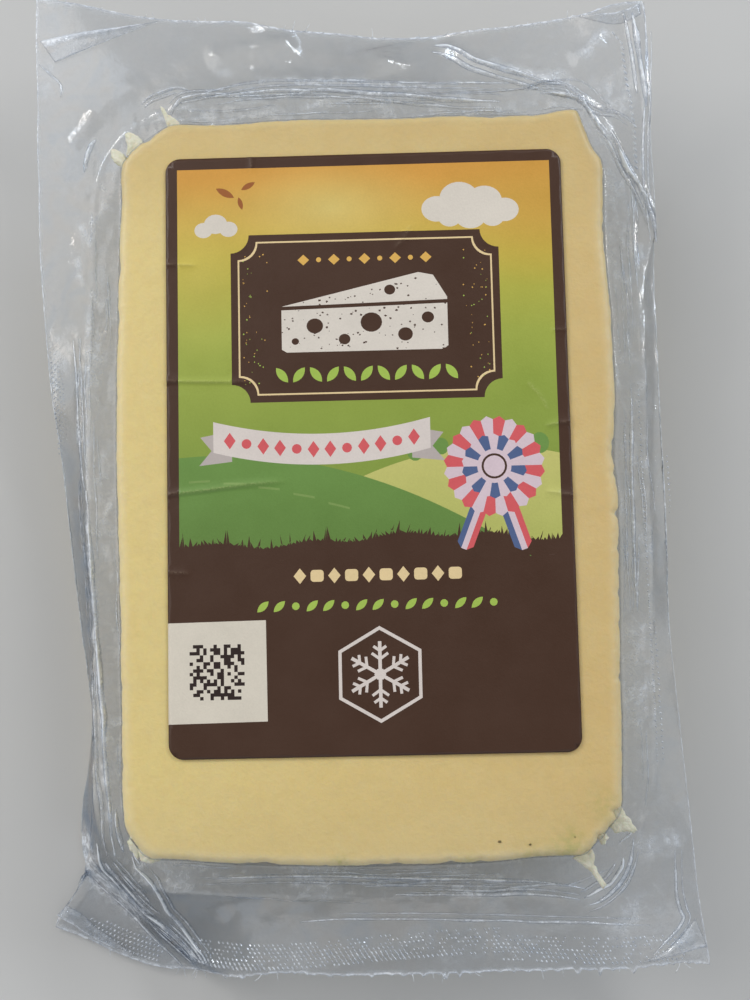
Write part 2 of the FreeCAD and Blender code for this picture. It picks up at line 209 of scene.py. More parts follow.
def resample(points, step):
    """Points along a smooth curve through the given ones, at about this step."""
    p = np.array(points, float)
    n = len(p)
    ext = np.vstack([2 * p[0] - p[1], p, 2 * p[-1] - p[-2]])
    fine = []
    for k in range(n - 1):
        p0, p1, p2, p3 = ext[k], ext[k + 1], ext[k + 2], ext[k + 3]
        for f in np.linspace(0, 1, 24, endpoint=False):
            fine.append(0.5 * (2 * p1 + (p2 - p0) * f + (2 * p0 - 5 * p1 + 4 * p2 - p3) * f ** 2
                               + (3 * p1 - p0 - 3 * p2 + p3) * f ** 3))
    fine.append(p[-1])
    fine = np.array(fine)
    run = np.r_[0, np.cumsum(np.linalg.norm(np.diff(fine[:, :2], axis=0), axis=1))]
    count = max(int(round(run[-1] / step)), 4)
    at = np.linspace(0, run[-1], count + 1)
    return np.c_[[np.interp(at, run, fine[:, c]) for c in range(p.shape[1])]].T


def rounded_outline(half_x, half_y, blunts, radius, per_corner=14):
    """The block's outline in plan, clockwise from the middle of its back left corner, and each corner's middle."""
    (flx, fly), (frx, fry), (brx, bry), (blx, bly) = blunts
    raw = np.array([
        (-half_x, half_y - bly), (-half_x + blx, half_y),
        (half_x - brx, half_y), (half_x, half_y - bry),
        (half_x, -half_y + fry), (half_x - frx, -half_y),
        (-half_x + flx, -half_y), (-half_x, -half_y + fly)])
    pts = []
    for k in range(8):
        here, before, after = raw[k], raw[k - 1], raw[(k + 1) % 8]
        a, b = before - here, after - here
        la, lb = np.linalg.norm(a), np.linalg.norm(b)
        a, b = a / la, b / lb
        half = math.acos(np.clip(np.dot(a, b), -1, 1)) / 2
        cut = min(radius / math.tan(half), la * 0.48, lb * 0.48)
        r = cut * math.tan(half)
        centre = here + (a + b) / np.linalg.norm(a + b) * (r / math.sin(half))
        s, e = here + a * cut - centre, here + b * cut - centre
        a0, a1 = math.atan2(s[1], s[0]), math.atan2(e[1], e[0])
        d = (a1 - a0 + math.pi) % (2 * math.pi) - math.pi
        for f in np.linspace(0, 1, per_corner):
            pts.append(centre + r * np.array([math.cos(a0 + d * f), math.sin(a0 + d * f)]))
    pts = np.array(pts)
    closed = np.vstack([pts, pts[:1]])
    run = np.r_[0, np.cumsum(np.linalg.norm(np.diff(closed, axis=0), axis=1))]
    total = run[-1]
    corners = []
    for k in (0, 2, 4, 6):
        middle = (raw[k] + raw[k + 1]) / 2
        near = np.argmin(np.linalg.norm(closed[:-1] - middle, axis=1))
        seg = []
        for m in range(len(closed) - 1):
            d = closed[m + 1] - closed[m]
            L = np.dot(d, d)
            f = np.clip(np.dot(middle - closed[m], d) / L, 0, 1) if L > 1e-12 else 0.0
            seg.append((np.linalg.norm(closed[m] + d * f - middle), run[m] + f * math.sqrt(L)))
        corners.append(min(seg)[1])
    return closed, run, total, corners


BLUNTS = ((3.2, 4.4), (6.4, 8.2), (4.6, 8.4), (8.6, 8.6))
OUTLINE, RUN, TOTAL, CORNERS = rounded_outline(HALF_X, HALF_Y, BLUNTS, 5.0)


# How far the block's side stands out of (or in from) that even outline, clockwise: place along it and distance.
EASE = (
    (0, -0.4), (2, 0.1), (4, 1.2), (6, 1.45), (8, 1.35), (10, 0.9), (12, 0.5), (14, 0.25), (16, 0.0), (20, -0.2), (26, -0.15), (31, 0.2),
    (36, 0.3), (42, 0.15), (52, 0.0), (59, 0.2), (65, 0.05), (70, -0.05), (74.5, -0.12), (76.5, 0.19), (77.8, 0.46), (78.9, 0.8), (79.7, 1.2), (80.3, 1.7),
    (80.7, 1.85), (81.4, 1.2), (82.1, 0.76), (83, 0.55), (84, 0.35), (85.2, 0.09), (86.2, -0.05), (87.3, -0.1), (88, 0.07), (88.7, 0.25),
    (90, 0.2), (92, 0.14), (95, 0.05), (98, -0.1), (104, -0.14), (108, 0.1), (114, 0.5), (120, 0.55), (126, 0.68), (131, 0.55), (135, 0.15),
    (139, -0.05), (143, 0.3), (146, 0.5), (148, 0.25), (151, 0.38), (158, 0.15), (165, -0.05), (173, -0.35), (180, -0.36), (187, -0.6),
    (192, -0.85), (194, -0.75), (196, -0.25), (198, -0.45), (200, -0.4), (202, -0.8), (204, -0.6), (207, -0.85), (210, -0.8), (214, -0.52),
    (218, -0.1), (224, 0.1), (232, 0.18), (240, 0.22), (247, 0.05), (254, -0.2), (259, -0.45), (263, -0.75), (267, -1.15), (271, -1.35),
    (274, -1.45), (276, -1.5), (278, -1.55), (280, -1.15), (282, -0.65), (285, -0.35), (292, -0.2), (299, -0.25), (304, -0.12), (308, 0.0),
    (312, -0.15), (316, 0.02), (322, 0.1), (330, 0.38), (338, 0.56), (346, 0.56), (354, 0.52), (360, 0.32), (368, 0.16), (376, -0.05), (382, -0.34))


def eased(outline, run, total, corners):
    """The outline moved out and in by that table."""
    t = np.arange(0, total, 0.4)
    p = np.c_[np.interp(t, run, outline[:, 0]), np.interp(t, run, outline[:, 1])]
    ahead, behind = np.mod(t + 1.0, total), np.mod(t - 1.0, total)
    d = np.c_[np.interp(ahead, run, outline[:, 0]) - np.interp(behind, run, outline[:, 0]),
              np.interp(ahead, run, outline[:, 1]) - np.interp(behind, run, outline[:, 1])]
    d /= np.linalg.norm(d, axis=1)[:, None]
    table = np.array(EASE + ((total, EASE[0][1]),), float)
    move = np.interp(t, table[:, 0], table[:, 1])
    p = p + np.c_[-d[:, 1], d[:, 0]] * move[:, None]
    for _ in range(2):
        p = 0.5 * p + 0.25 * (np.roll(p, 1, 0) + np.roll(p, -1, 0))
    closed = np.vstack([p, p[:1]])
    new_run = np.r_[0, np.cumsum(np.linalg.norm(np.diff(closed, axis=0), axis=1))]
    return closed, new_run, new_run[-1], [float(np.interp(c, np.r_[t, total], new_run)) for c in corners]


OUTLINE, RUN, TOTAL, CORNERS = eased(OUTLINE, RUN, TOTAL, CORNERS)


def on_outline(s):
    s = np.mod(s, TOTAL)
    return np.c_[np.interp(s, RUN, OUTLINE[:, 0]), np.interp(s, RUN, OUTLINE[:, 1])]


def outward(s, reach=0.6):
    """Outward direction in plan at places along the outline."""
    d = on_outline(s + reach) - on_outline(s - reach)
    d /= np.linalg.norm(d, axis=1)[:, None]
    return np.c_[-d[:, 1], d[:, 0]]


def drawn(s, d):
    """The outline drawn out (or in, below 0) by this distance, its corners easing as it goes."""
    m = 1600
    p = on_outline(np.linspace(0, TOTAL, m, endpoint=False))
    ease = (0.5 if d > 0 else 0.8) * abs(d) * m / TOTAL
    keep = np.exp(-2 * (math.pi * np.fft.fftfreq(m) * ease) ** 2)
    p = np.c_[[np.fft.ifft(np.fft.fft(p[:, c]) * keep).real for c in (0, 1)]].T
    t = np.roll(p, -2, 0) - np.roll(p, 2, 0)
    t /= np.linalg.norm(t, axis=1)[:, None]
    p = p + np.c_[-t[:, 1], t[:, 0]] * d
    at = np.mod(s, TOTAL) * m / TOTAL
    k = np.floor(at).astype(int) % m
    f = (at - np.floor(at))[:, None]
    return p[k] * (1 - f) + p[(k + 1) % m] * f


def along_sides(counts):
    """Places along the outline with this many on each side from corner to corner: back, right, front, left."""
    ends = [CORNERS[0], CORNERS[1], CORNERS[2], CORNERS[3], CORNERS[0] + TOTAL]
    c = [e + (TOTAL if e < CORNERS[0] else 0) for e in ends[:4]] + [ends[4]]
    return np.concatenate([c[k] + (c[k + 1] - c[k]) * np.arange(counts[k]) / counts[k] for k in range(4)])


def line_distance(x, y, pts):
    """Distance in plan to a line of points, and how far along it the nearest place is, 0 to 1."""
    pts = np.asarray(pts, float)
    run = np.r_[0, np.cumsum(np.linalg.norm(np.diff(pts, axis=0), axis=1))]
    best = np.full(x.shape, 1e9)
    share = np.zeros(x.shape)
    for k in range(len(pts) - 1):
        d = pts[k + 1] - pts[k]
        L = float(np.dot(d, d))
        f = np.clip(((x - pts[k, 0]) * d[0] + (y - pts[k, 1]) * d[1]) / L, 0, 1)
        dist = np.hypot(x - pts[k, 0] - d[0] * f, y - pts[k, 1] - d[1] * f)
        near = dist < best
        best = np.where(near, dist, best)
        share = np.where(near, (run[k] + f * math.sqrt(L)) / run[-1], share)
    return best, share


def volume_of(verts, faces):
    v = np.asarray(verts, float)
    v = v - v.mean(0)
    total = 0.0
    by_len = {}
    for f in faces:
        by_len.setdefault(len(f), []).append(f)
    for k, fs in by_len.items():
        fs = np.array(fs)
        for q in range(1, k - 1):
            total += float(np.einsum("ij,ij->i", v[fs[:, 0]], np.cross(v[fs[:, q]], v[fs[:, q + 1]])).sum()) / 6.0
    return total


def mesh_object(name, verts, faces, smooth_faces=True):
    if volume_of(verts, faces) < 0:
        faces = [tuple(f)[::-1] for f in faces]
    me = bpy.data.meshes.new(name)
    me.from_pydata([tuple(v) for v in to_world(verts)], [], [tuple(int(q) for q in f) for f in faces])
    me.update()
    if smooth_faces:
        me.polygons.foreach_set("use_smooth", [True] * len(me.polygons))
    ob = bpy.data.objects.new(name, me)
    bpy.context.scene.collection.objects.link(ob)
    return ob


def vertex_value(ob, name, values):
    at = ob.data.attributes.new(name, "FLOAT", "POINT")
    at.data.foreach_set("value", np.asarray(values, np.float32).ravel())


# ---------------------------------------------------------------- film
def tooth_line(length, rng, tall, pitch):
    """Small teeth along a cut edge: place and height of each."""
    at, teeth = 0.0, []
    while at < length:
        at += pitch * (0.45 + rng.random() * 1.4)
        big = rng.random() < 0.16
        teeth.append((at, tall * (1.0 + rng.random()) * (1.6 if big else 0.45), 0.28 + rng.random() * 0.4))
    return teeth


def ragged(run, rng, tall, pitch):
    out = 0.06 * vnoise(run / 0.7, run * 0 + 3.0, 0.0, rng.randrange(1000))
    for at, high, wide in tooth_line(run[-1], rng, tall, pitch):
        out = out + high * np.clip(1 - np.abs(run - at) / wide, 0, 1)
    return out


def build_film():
    k = 1.0
    rng = random.Random(11)
    sides, teeth = [], []
    for pts, step, tall, pitch in (
        (BACK_EDGE, 0.42 * k, 0.12, 2.3), (RIGHT_EDGE, 0.80 * k, 0.02, 5.0),
        (FRONT_EDGE, 0.42 * k, 0.5, 1.9), (LEFT_EDGE, 0.80 * k, 0.02, 5.0),
    ):
        p = resample(pts, step)
        d = np.gradient(p[:, :2], axis=0)
        d /= np.linalg.norm(d, axis=1)[:, None]
        n = np.c_[-d[:, 1], d[:, 0]]
        run = np.r_[0, np.cumsum(np.linalg.norm(np.diff(p[:, :2], axis=0), axis=1))]
        out = ragged(run, rng, tall, pitch) * smooth(0, 2.5, run) * smooth(0, 2.5, run[-1] - run)
        if pts is FRONT_EDGE:                    # cut clean towards the left corner
            out = out * (1 - 0.88 * smooth(72, 86, run))
        teeth.append((n * out[:, None])[:-1])
        sides.append(p[:-1])
    counts = [len(p) for p in sides]
    edge, tooth = np.vstack(sides), np.vstack(teeth)
    s = along_sides(counts)
    a, n = on_outline(s), outward(s, 1.2)
    N = len(s)

    rows = []                                    # (x, y, z) arrays of one ring each
    kind = []                                    # 0 over the top, 1 wall, 2 crumpled strip, 3 border
    ring0 = drawn(s, -3.2)
    top = TOP + SKIN
    for share in (0.12, 0.4, 0.68, 0.84, 0.93):
        rows.append(np.c_[ring0 * share, np.full(N, top)]); kind.append(0)
    for d in (-3.2, -2.4, -1.85):
        rows.append(np.c_[drawn(s, d), np.full(N, top)]); kind.append(0)
    for ang in (15, 30, 45, 60, 75, 90):
        t = math.radians(ang)
        rows.append(np.c_[drawn(s, -1.5 + 1.65 * math.sin(t)), np.full(N, top - 1.65 * (1 - math.cos(t)))])
        kind.append(0 if ang < 50 else 1)
    for d, z in ((0.18, 17.6), (0.22, 16.5), (0.32, 15.4), (0.5, 14.5), (0.8, 13.85), (1.2, 13.4)):
        rows.append(np.c_[drawn(s, d), np.full(N, z)]); kind.append(1)
    for d in np.arange(1.55, 5.3, 0.34 * (1)):
        rows.append(np.c_[drawn(s, d), np.full(N, ROOT + 0.05)]); kind.append(2)
    for d, z in ((5.55, 0.12), (5.85, 0.2), (6.15, 0.1), (RIM, 0.0)):
        rows.append(np.c_[drawn(s, d), np.full(N, ROOT + z)]); kind.append(2)
    rim = drawn(s, RIM)
    steps = 27
    wide = np.linalg.norm(edge[:, :2] - rim, axis=1)
    shares = [np.full(N, q) for q in np.linspace(0, 1, steps + 1)[1:-1]]
    shares += [1 - 0.24 / wide, np.ones(N)]      # the last narrow row is the cut edge itself
    for q in shares:
        xy = rim + (edge[:, :2] - rim) * q[:, None] + tooth * np.clip((q - 0.93) / 0.07, 0, 1)[:, None]
        z = ROOT + (edge[:, 2] - ROOT) * (1 - (1 - q) ** 1.25)
        rows.append(np.c_[xy, z]); kind.append(3)
    P = np.array(rows)
    kind = np.array(kind)
    X, Y, Z = P[..., 0], P[..., 1], P[..., 2]
    border = (kind == 3)[:, None]
    strip = (kind == 2)[:, None]
    wall = (kind == 1)[:, None]

    # the front left corner folds down onto the table: beyond the fold the film lies flat
    f0, f1 = np.array((-50.3, -64.9)), np.array((-31.8, -80.6))
    d = (f1 - f0) / np.linalg.norm(f1 - f0)
    inside = (X - f0[0]) * -d[1] + (Y - f0[1]) * d[0]
    inside = inside if ((0 - f0[0]) * -d[1] + (0 - f0[1]) * d[0]) > 0 else -inside
    cap = 1.0 + 1.55 * np.clip(inside, 0, None) + 0.05 * np.clip(-inside, 0, 4)
    near = smooth(-12, -26, X) * smooth(-46, -58, Y)
    cap = cap + (1 - near) * 40
    h = np.clip(0.5 + 0.5 * (cap - Z) / 0.9, 0, 1)
    low = cap + (Z - cap) * h - 0.9 * h * (1 - h)
    Z = np.where(border | strip, low, Z)

    # slow waves of the border
    gone = smooth(0, 7, Z - LOWEST)
    q = np.zeros(P.shape[:2])
    q[kind == 3] = np.array(shares)
    wave = 0.55 * vnoise(X / 17.0, Y / 17.0, 0, 5) + 0.28 * vnoise(X / 7.0, Y / 8.5, 0, 6)
    Z = Z + np.where(border, wave * q * gone, 0.0)
    P = np.stack([X, Y, Z], -1)

    def normals(P):
        du = np.roll(P, -1, 1) - np.roll(P, 1, 1)
        dv = np.gradient(P, axis=0)
        nn = np.cross(dv, du)
        L = np.linalg.norm(nn, axis=-1, keepdims=True)
        nn = nn / np.maximum(L, 1e-9)
        return nn * np.where(nn[..., 2:3].mean() < 0, -1, 1)

    nn = normals(P)
    # crumpled strip round the block, and light crumple up its walls
    sx, sy = X, Y
    side = np.abs(n[:, 0])[None, :]                    # 1 on the long sides
    ax = np.where(side > 0.5, 1.0, 0.42)
    ay = np.where(side > 0.5, 0.42, 1.0)
    cr = fbm(sx * ax / 1.15, sy * ay / 1.15, 0, 3, 21)
    ridged = 1 - np.abs(vnoise(sx * ax / 1.9 + 0.6 * cr, sy * ay / 1.9, 0, 22)) * 2
    patch = smooth(-0.35, 0.5, vnoise(sx / 9.0, sy / 9.0, 0, 23))
    along = vnoise(sx / 5.0, sy / 5.0, 1.5, 24)
    push = np.zeros(P.shape[:2])
    push += np.where(strip, (0.17 * cr + 0.17 * ridged * patch + 0.2 * along) * (1 - 0.4 * side), 0)
    push += np.where(wall, 0.05 * cr * (P[..., 2] < 18), 0)
    push += np.where(border, (0.07 * cr * patch + 0.07 * ridged * patch) * smooth(0.35, 0.0, q), 0)
    push += np.where(border, 0.022 * fbm(sx / 2.6, sy / 2.6, 0, 2, 25), 0)

    white = np.where(strip, 0.10 + 0.35 * patch * smooth(0.1, 0.9, ridged) + 0.15 * smooth(0.2, 0.8, cr), 0.0)
    white = white + np.where(border, 0.06 * smooth(-0.2, 0.8, vnoise(sx / 6.0, sy / 6.0, 0, 29)), 0.0)
    live = (strip | border | (wall & (P[..., 2] < 16)))
    for name, sort, high, wide, line in FOLDS:
        d, share = line_distance(X, Y, line)
        ends = smooth(0, 0.14, share) * smooth(0, 0.14, 1 - share) if name != "bl_fold" else 1.0
        if sort == "sharp":
            prof = 0.55 * np.clip(1 - d / (wide * 2.0), 0, 1) ** 1.4
            white = white + np.where(live, 0.55 * np.exp(-(d / (0.45 * wide)) ** 2) * ends * min(abs(high) * 1.3, 1), 0)
        else:
            prof = np.exp(-(d / wide) ** 2)
        uneven = 0.8 + 0.35 * vnoise(X / 2.2, Y / 2.2, 0, 40 + len(name))
        push += np.where(live, high * prof * ends * uneven, 0)
    P = P + nn * push[..., None]
    P[..., 2] = np.maximum(P[..., 2], LOWEST + 0.15 * np.clip(P[..., 2] - LOWEST, -2, 0))
    nn = normals(P)
    white = white * 0.55
    # paint the film lighter along these bands: milky haze, painted highlights and painted reflections
    for much, wide, line in HAZE_AND_HIGHLIGHT_BANDS:
        d, share = line_distance(X, Y, line)
        soft = smooth(0, 0.25, share) * smooth(0, 0.25, 1 - share)
        patchy = 0.8 + 0.35 * vnoise(X / 1.7, Y / 1.7, 0, 71)
        white = white + np.where(strip | border, much * np.exp(-(d / wide) ** 2) * soft * patchy, 0)
    white = np.clip(white, 0, 1)
    white[-1] = 1.0
    white[-2] = np.maximum(white[-2], 0.55)

    # underside of the border, then the lower wall and the base
    rows = [P]
    whites = [white]
    flip = [j for j in range(len(kind)) if kind[j] == 3][::-1]
    under = [len(kind) - 1] + flip[1::2]
    stripes = [j for j in range(len(kind)) if kind[j] == 2][::-1]
    under += stripes[::3]
    for j in under:
        p = P[j] - nn[j] * SHEET
        p[:, 2] = np.maximum(p[:, 2], 0.12)
        rows.append(p[None]); whites.append(white[j][None] * (1.0 if j == len(kind) - 1 else 0.4))
    cheek = 0.06 * fbm(a[:, 0] / 3.0, a[:, 1] / 3.0, 0, 3, 51)
    for dd, z in ((0.75, 12.5), (0.4, 11.2), (0.22, 9.0), (0.16, 6.5), (0.15, 4.0), (0.15, 1.65)):
        rows.append(np.c_[a + n * (dd + cheek)[:, None], np.full(N, z)][None]); whites.append(np.full((1, N), 0.05))
    for ang in (60, 30, 0):
        t = math.radians(ang)
        rows.append(np.c_[drawn(s, -1.5 + 1.65 * math.sin(t)), np.full(N, 1.65 * (1 - math.cos(t)))][None])
        whites.append(np.full((1, N), 0.03))
    for share in (1.0, 0.7, 0.35, 0.1):
        rows.append(np.c_[ring0 * share, np.zeros(N)][None]); whites.append(np.full((1, N), 0.0))
    G = np.concatenate(rows)
    W = np.concatenate(whites)
    R = len(G)
    verts = [np.array([[0, 0, top]]), G.reshape(-1, 3), np.array([[0, 0, 0.0]])]
    verts = np.vstack(verts)
    i = np.arange(N)
    j2 = (i + 1) % N
    faces = [np.c_[np.zeros(N, int), 1 + j2, 1 + i]]
    quads = []
    for r in range(R - 1):
        b0, b1 = 1 + r * N, 1 + (r + 1) * N
        quads.append(np.c_[b0 + i, b0 + j2, b1 + j2, b1 + i])
    last = 1 + (R - 1) * N
    cap_f = np.c_[np.full(N, len(verts) - 1), last + i, last + j2]
    all_faces = [tuple(f) for f in faces[0]] + [tuple(f) for f in np.vstack(quads)] + [tuple(f) for f in cap_f]
    ob = mesh_object("clear_film", verts, all_faces)
    vertex_value(ob, "white", np.r_[0.0, W.ravel(), 0.0])
    tight = np.zeros(R)
    tight[:len(kind)] = np.where(kind == 0, 1.0, np.where(kind == 1, 0.7, 0.0))
    tight[np.nonzero(kind == 2)[0][0] - 3:np.nonzero(kind == 2)[0][0]] = (0.5, 0.25, 0.1)
    tight[-13:] = 1.0
    vertex_value(ob, "tight", np.r_[1.0, np.repeat(tight, N), 1.0])
    upper = P[kind >= 1]
    uN = len(upper)
    uf = []
    for r in range(uN - 1):
        b0, b1 = r * N, (r + 1) * N
        uf += [tuple(f) for f in np.c_[b0 + i, b0 + j2, b1 + j2, b1 + i]]
    tree = BVHTree.FromPolygons([tuple(v) for v in upper.reshape(-1, 3)], uf)
    return ob, tree


film, film_tree = build_film()


def film_at(x, y):
    """Height of the film's upper surface at a place in plan, and its normal."""
    hit = film_tree.ray_cast(Vector((x, y, 60.0)), Vector((0, 0, -1)))
    if hit[0] is None:
        near = film_tree.find_nearest(Vector((x, y, 8.0)))
        return near[0].z, (near[1] if near[1].z > 0 else -near[1])
    return hit[0].z, (hit[1] if hit[1].z > 0 else -hit[1])


def sheet_piece(name, outer, inner, lift_outer, lift_inner, bulge, across=9, thick=0.13, white_edge=0.9, whiteness=0.12, fold_highlight=0.0):
    """A thin loose web of film over the border, between two lines of points in plan."""
    o, m = resample([(p[0], p[1], 0) for p in outer], 0.5), resample([(p[0], p[1], 0) for p in inner], 0.5)
    count = max(len(o), len(m))
    t = np.linspace(0, 1, count)
    o = np.c_[[np.interp(t, np.linspace(0, 1, len(o)), o[:, c]) for c in (0, 1)]].T
    m = np.c_[[np.interp(t, np.linspace(0, 1, len(m)), m[:, c]) for c in (0, 1)]].T
    top, val = [], []
    for k in range(across):
        f = k / (across - 1)
        row = m + (o - m) * f
        for c, (x, y) in enumerate(row):
            z, _ = film_at(x, y)
            ends = math.sin(math.pi * min(max(t[c], 0.0), 1.0)) ** 0.5
            lo_, hi_ = lift_inner(t[c]), lift_outer(t[c])
            top.append((x, y, z + 0.06 + lo_ + (hi_ - lo_) * f + bulge * math.sin(math.pi * f) * ends))
            # the rows next to the inner line are painted white: a painted highlight along the fold
            val.append(white_edge if k == across - 1 else max(whiteness * (1.5 if k < 3 else 1.0), fold_highlight * max(1 - k / 4.2, 0.0)))
    top = np.array(top)
    low = top - np.array([0, 0, thick])
    low[:, 2] = np.maximum(low[:, 2], 0.08)
    V = np.vstack([top, low])
    n = len(top)
    F = []
    for k in range(across - 1):
        for c in range(count - 1):
            a, b = k * count + c, k * count + c + 1
            d, e = a + count, b + count
            F.append((a, b, e, d)); F.append((n + a, n + d, n + e, n + b))
    for c in range(count - 1):
        a, b = c, c + 1
        F.append((a, n + a, n + b, b))
        a, b = (across - 1) * count + c, (across - 1) * count + c + 1
        F.append((a, b, n + b, n + a))
    for k in range(across - 1):
        a, b = k * count, (k + 1) * count
        F.append((a, b, n + b, n + a))
        a, b = a + count - 1, b + count - 1
        F.append((a, n + a, n + b, b))
    ob = mesh_object(name, V, F)
    vertex_value(ob, "white", val + val)
    return ob


loose = []
# back left corner: the upper web peeled and folded over itself
loose.append(sheet_piece(
    "film_peel_back_left",
    outer=((-52.6, 75.0), (-50.6, 75.7), (-48.5, 76.5), (-46.6, 77.25), (-44.8, 78.0), (-42.2, 79.2), (-39.6, 80.5), (-37.2, 81.7), (-35.2, 82.7)),
    inner=((-55.3, 79.1), (-53.0, 79.5), (-50.6, 79.95), (-48.4, 80.35), (-45.2, 80.95), (-42.0, 81.6), (-38.8, 82.25), (-37.0, 82.5), (-35.0, 82.9)),
    lift_outer=lambda t: 0.15 + 0.3 * math.sin(math.pi * t), lift_inner=lambda t: 0.05, bulge=0.35, across=12, thick=0.05, whiteness=0.13, fold_highlight=1.3))
# front left corner: the two webs part at the cut edge
loose.append(sheet_piece(
    "film_lip_front_left",
    outer=((-54.6, -71.2), (-53.2, -72.2), (-51.7, -73.1), (-50.0, -74.6), (-47.5, -76.0), (-45.2, -77.2), (-42.2, -78.7)),
    inner=((-53.4, -70.0), (-51.8, -70.8), (-50.2, -71.9), (-48.4, -73.6), (-46.4, -75.0), (-44.6, -76.4), (-42.0, -78.3)),
    lift_outer=lambda t: 1.7 * (1 - t) ** 1.3, lift_inner=lambda t: 0.02, bulge=0.1, across=7))
# front right corner: the upper web is cut shorter and lifts
loose.append(sheet_piece(
    "film_lip_front_right",
    outer=((53.2, -75.9), (51.2, -76.6), (49.2, -77.3), (47.4, -77.8), (45.2, -78.3), (43.2, -78.6)),
    inner=((51.6, -71.6), (50.6, -72.8), (49.2, -74.6), (47.4, -76.4), (45.2, -77.7), (43.0, -78.4)),
    lift_outer=lambda t: 1.1 * (1 - t), lift_inner=lambda t: 0.02, bulge=0.35, across=8))
# back right corner: two cut edges side by side
loose.append(sheet_piece(
    "film_lip_back_right",
    outer=((38.4, 80.6), (41.0, 80.2), (43.8, 80.0), (46.2, 80.6), (48.4, 81.8)),
    inner=((38.2, 80.3), (41.0, 79.2), (43.8, 78.4), (46.2, 78.6), (48.6, 79.8)),
    lift_outer=lambda t: 0.8 * math.sin(math.pi * t), lift_inner=lambda t: 0.02, bulge=0.1, across=6))


def crease_strips(name, lines, spacing=0.36):
    """Crisp folds: narrow lens-shaped ridges of film, each along a line on the border."""
    V, F, val = [], [], []
    for n_line, (pts, high, half, haze_and_highlight) in enumerate(lines):
        p = resample([(a, b, 0.0) for a, b in pts], spacing)[:, :2]
        d = np.gradient(p, axis=0)
        d /= np.maximum(np.linalg.norm(d, axis=1), 1e-6)[:, None]
        q = np.c_[-d[:, 1], d[:, 0]]
        run = np.r_[0, np.cumsum(np.linalg.norm(np.diff(p, axis=0), axis=1))]
        m = len(p)
        share = run / run[-1]
        taper = np.clip(np.minimum(share, 1 - share) / 0.22, 0, 1) ** 0.7
        wander = 0.35 * half * vnoise(run / 4.2, n_line * 7.3, 0, 91)
        width = half * (0.25 + 0.75 * taper) * (1 + 0.32 * vnoise(run / 4.6, n_line * 3.1, 0, 92))
        tall = high * (0.06 + 0.94 * taper) * (1 + 0.3 * vnoise(run / 3.6, n_line * 5.7, 0, 93))
        highlight_streak = np.clip(0.62 + 0.75 * vnoise(run / 3.4, n_line * 9.1, 0, 94) + 0.2 * vnoise(run / 0.9, n_line * 4.3, 0, 96), 0.12, 1.15)
        across = (-1.0, -0.62, -0.3, -0.1, 0.06, 0.22, 0.5, 1.0) if half > 0.3 else (-1.0, -0.35, 0.05, 0.4, 1.0)
        base = len(V)
        k_n = len(across)
        up_z = []
        for k, t in enumerate(across):
            for c in range(m):
                x = p[c, 0] + q[c, 0] * (t * width[c] + wander[c])
                y = p[c, 1] + q[c, 1] * (t * width[c] + wander[c])
                z, _n = film_at(x, y)
                V.append((x, y, z + 0.012 + tall[c] * (1 - t * t) ** 1.35))
                up_z.append(z)
                # the fourth value of each line paints the strip white: milky haze, and above 0.95 a streaky painted
                # highlight
                val.append(haze_and_highlight * (1 - abs(t) ** 1.2) * (highlight_streak[c] if haze_and_highlight > 0.95 else 0.9))
        for k, t in enumerate(across):
            for c in range(m):
                x, y, z = V[base + k * m + c]
                V.append((x, y, max(up_z[k * m + c] - 0.02 - 0.02 * (1 - abs(t)), 0.05)))
                val.append(haze_and_highlight * 0.3)
        low = base + k_n * m
        for k in range(k_n - 1):
            for c in range(m - 1):
                a, b = k * m + c, k * m + c + 1
                F.append((base + a, base + a + m, base + b + m, base + b))
                F.append((low + a, low + b, low + b + m, low + a + m))
        for c in range(m - 1):
            F.append((base + c, base + c + 1, low + c + 1, low + c))
            a = (k_n - 1) * m + c
            F.append((base + a, low + a, low + a + 1, base + a + 1))
        for k in range(k_n - 1):
            a = k * m
            F.append((base + a, low + a, low + a + m, base + a + m))
            a = k * m + m - 1
            F.append((base + a, base + a + m, low + a + m, low + a))
    ob = mesh_object(name, np.array(V), F)
    vertex_value(ob, "white", val)
    return ob


# Folds painted white along them: painted highlights where these folds catch the light.
HIGHLIGHT_FOLDS = {"tr_bright_0": 1.7, "tr_arc_1": 1.0, "tr_arc_2": 1.3, "tr_arc_3": 1.2, "tr_ridge_4": 1.8, "tr_inner_line": 1.0, "left_ridge": 1.7,
             "left_fold_b": 1.0, "bl_ridge_2": 1.5, "bl_ridge_4": 1.7, "bl_ridge_3": 1.2, "bl_fold": 1.0, "br_crescent_1": 1.8,
             "br_crescent_2": 1.1, "tl_arc_2": 1.0, "bottom_rim_1": 1.1, "top_rim_crease": 1.0, "br_tick": 1.3}


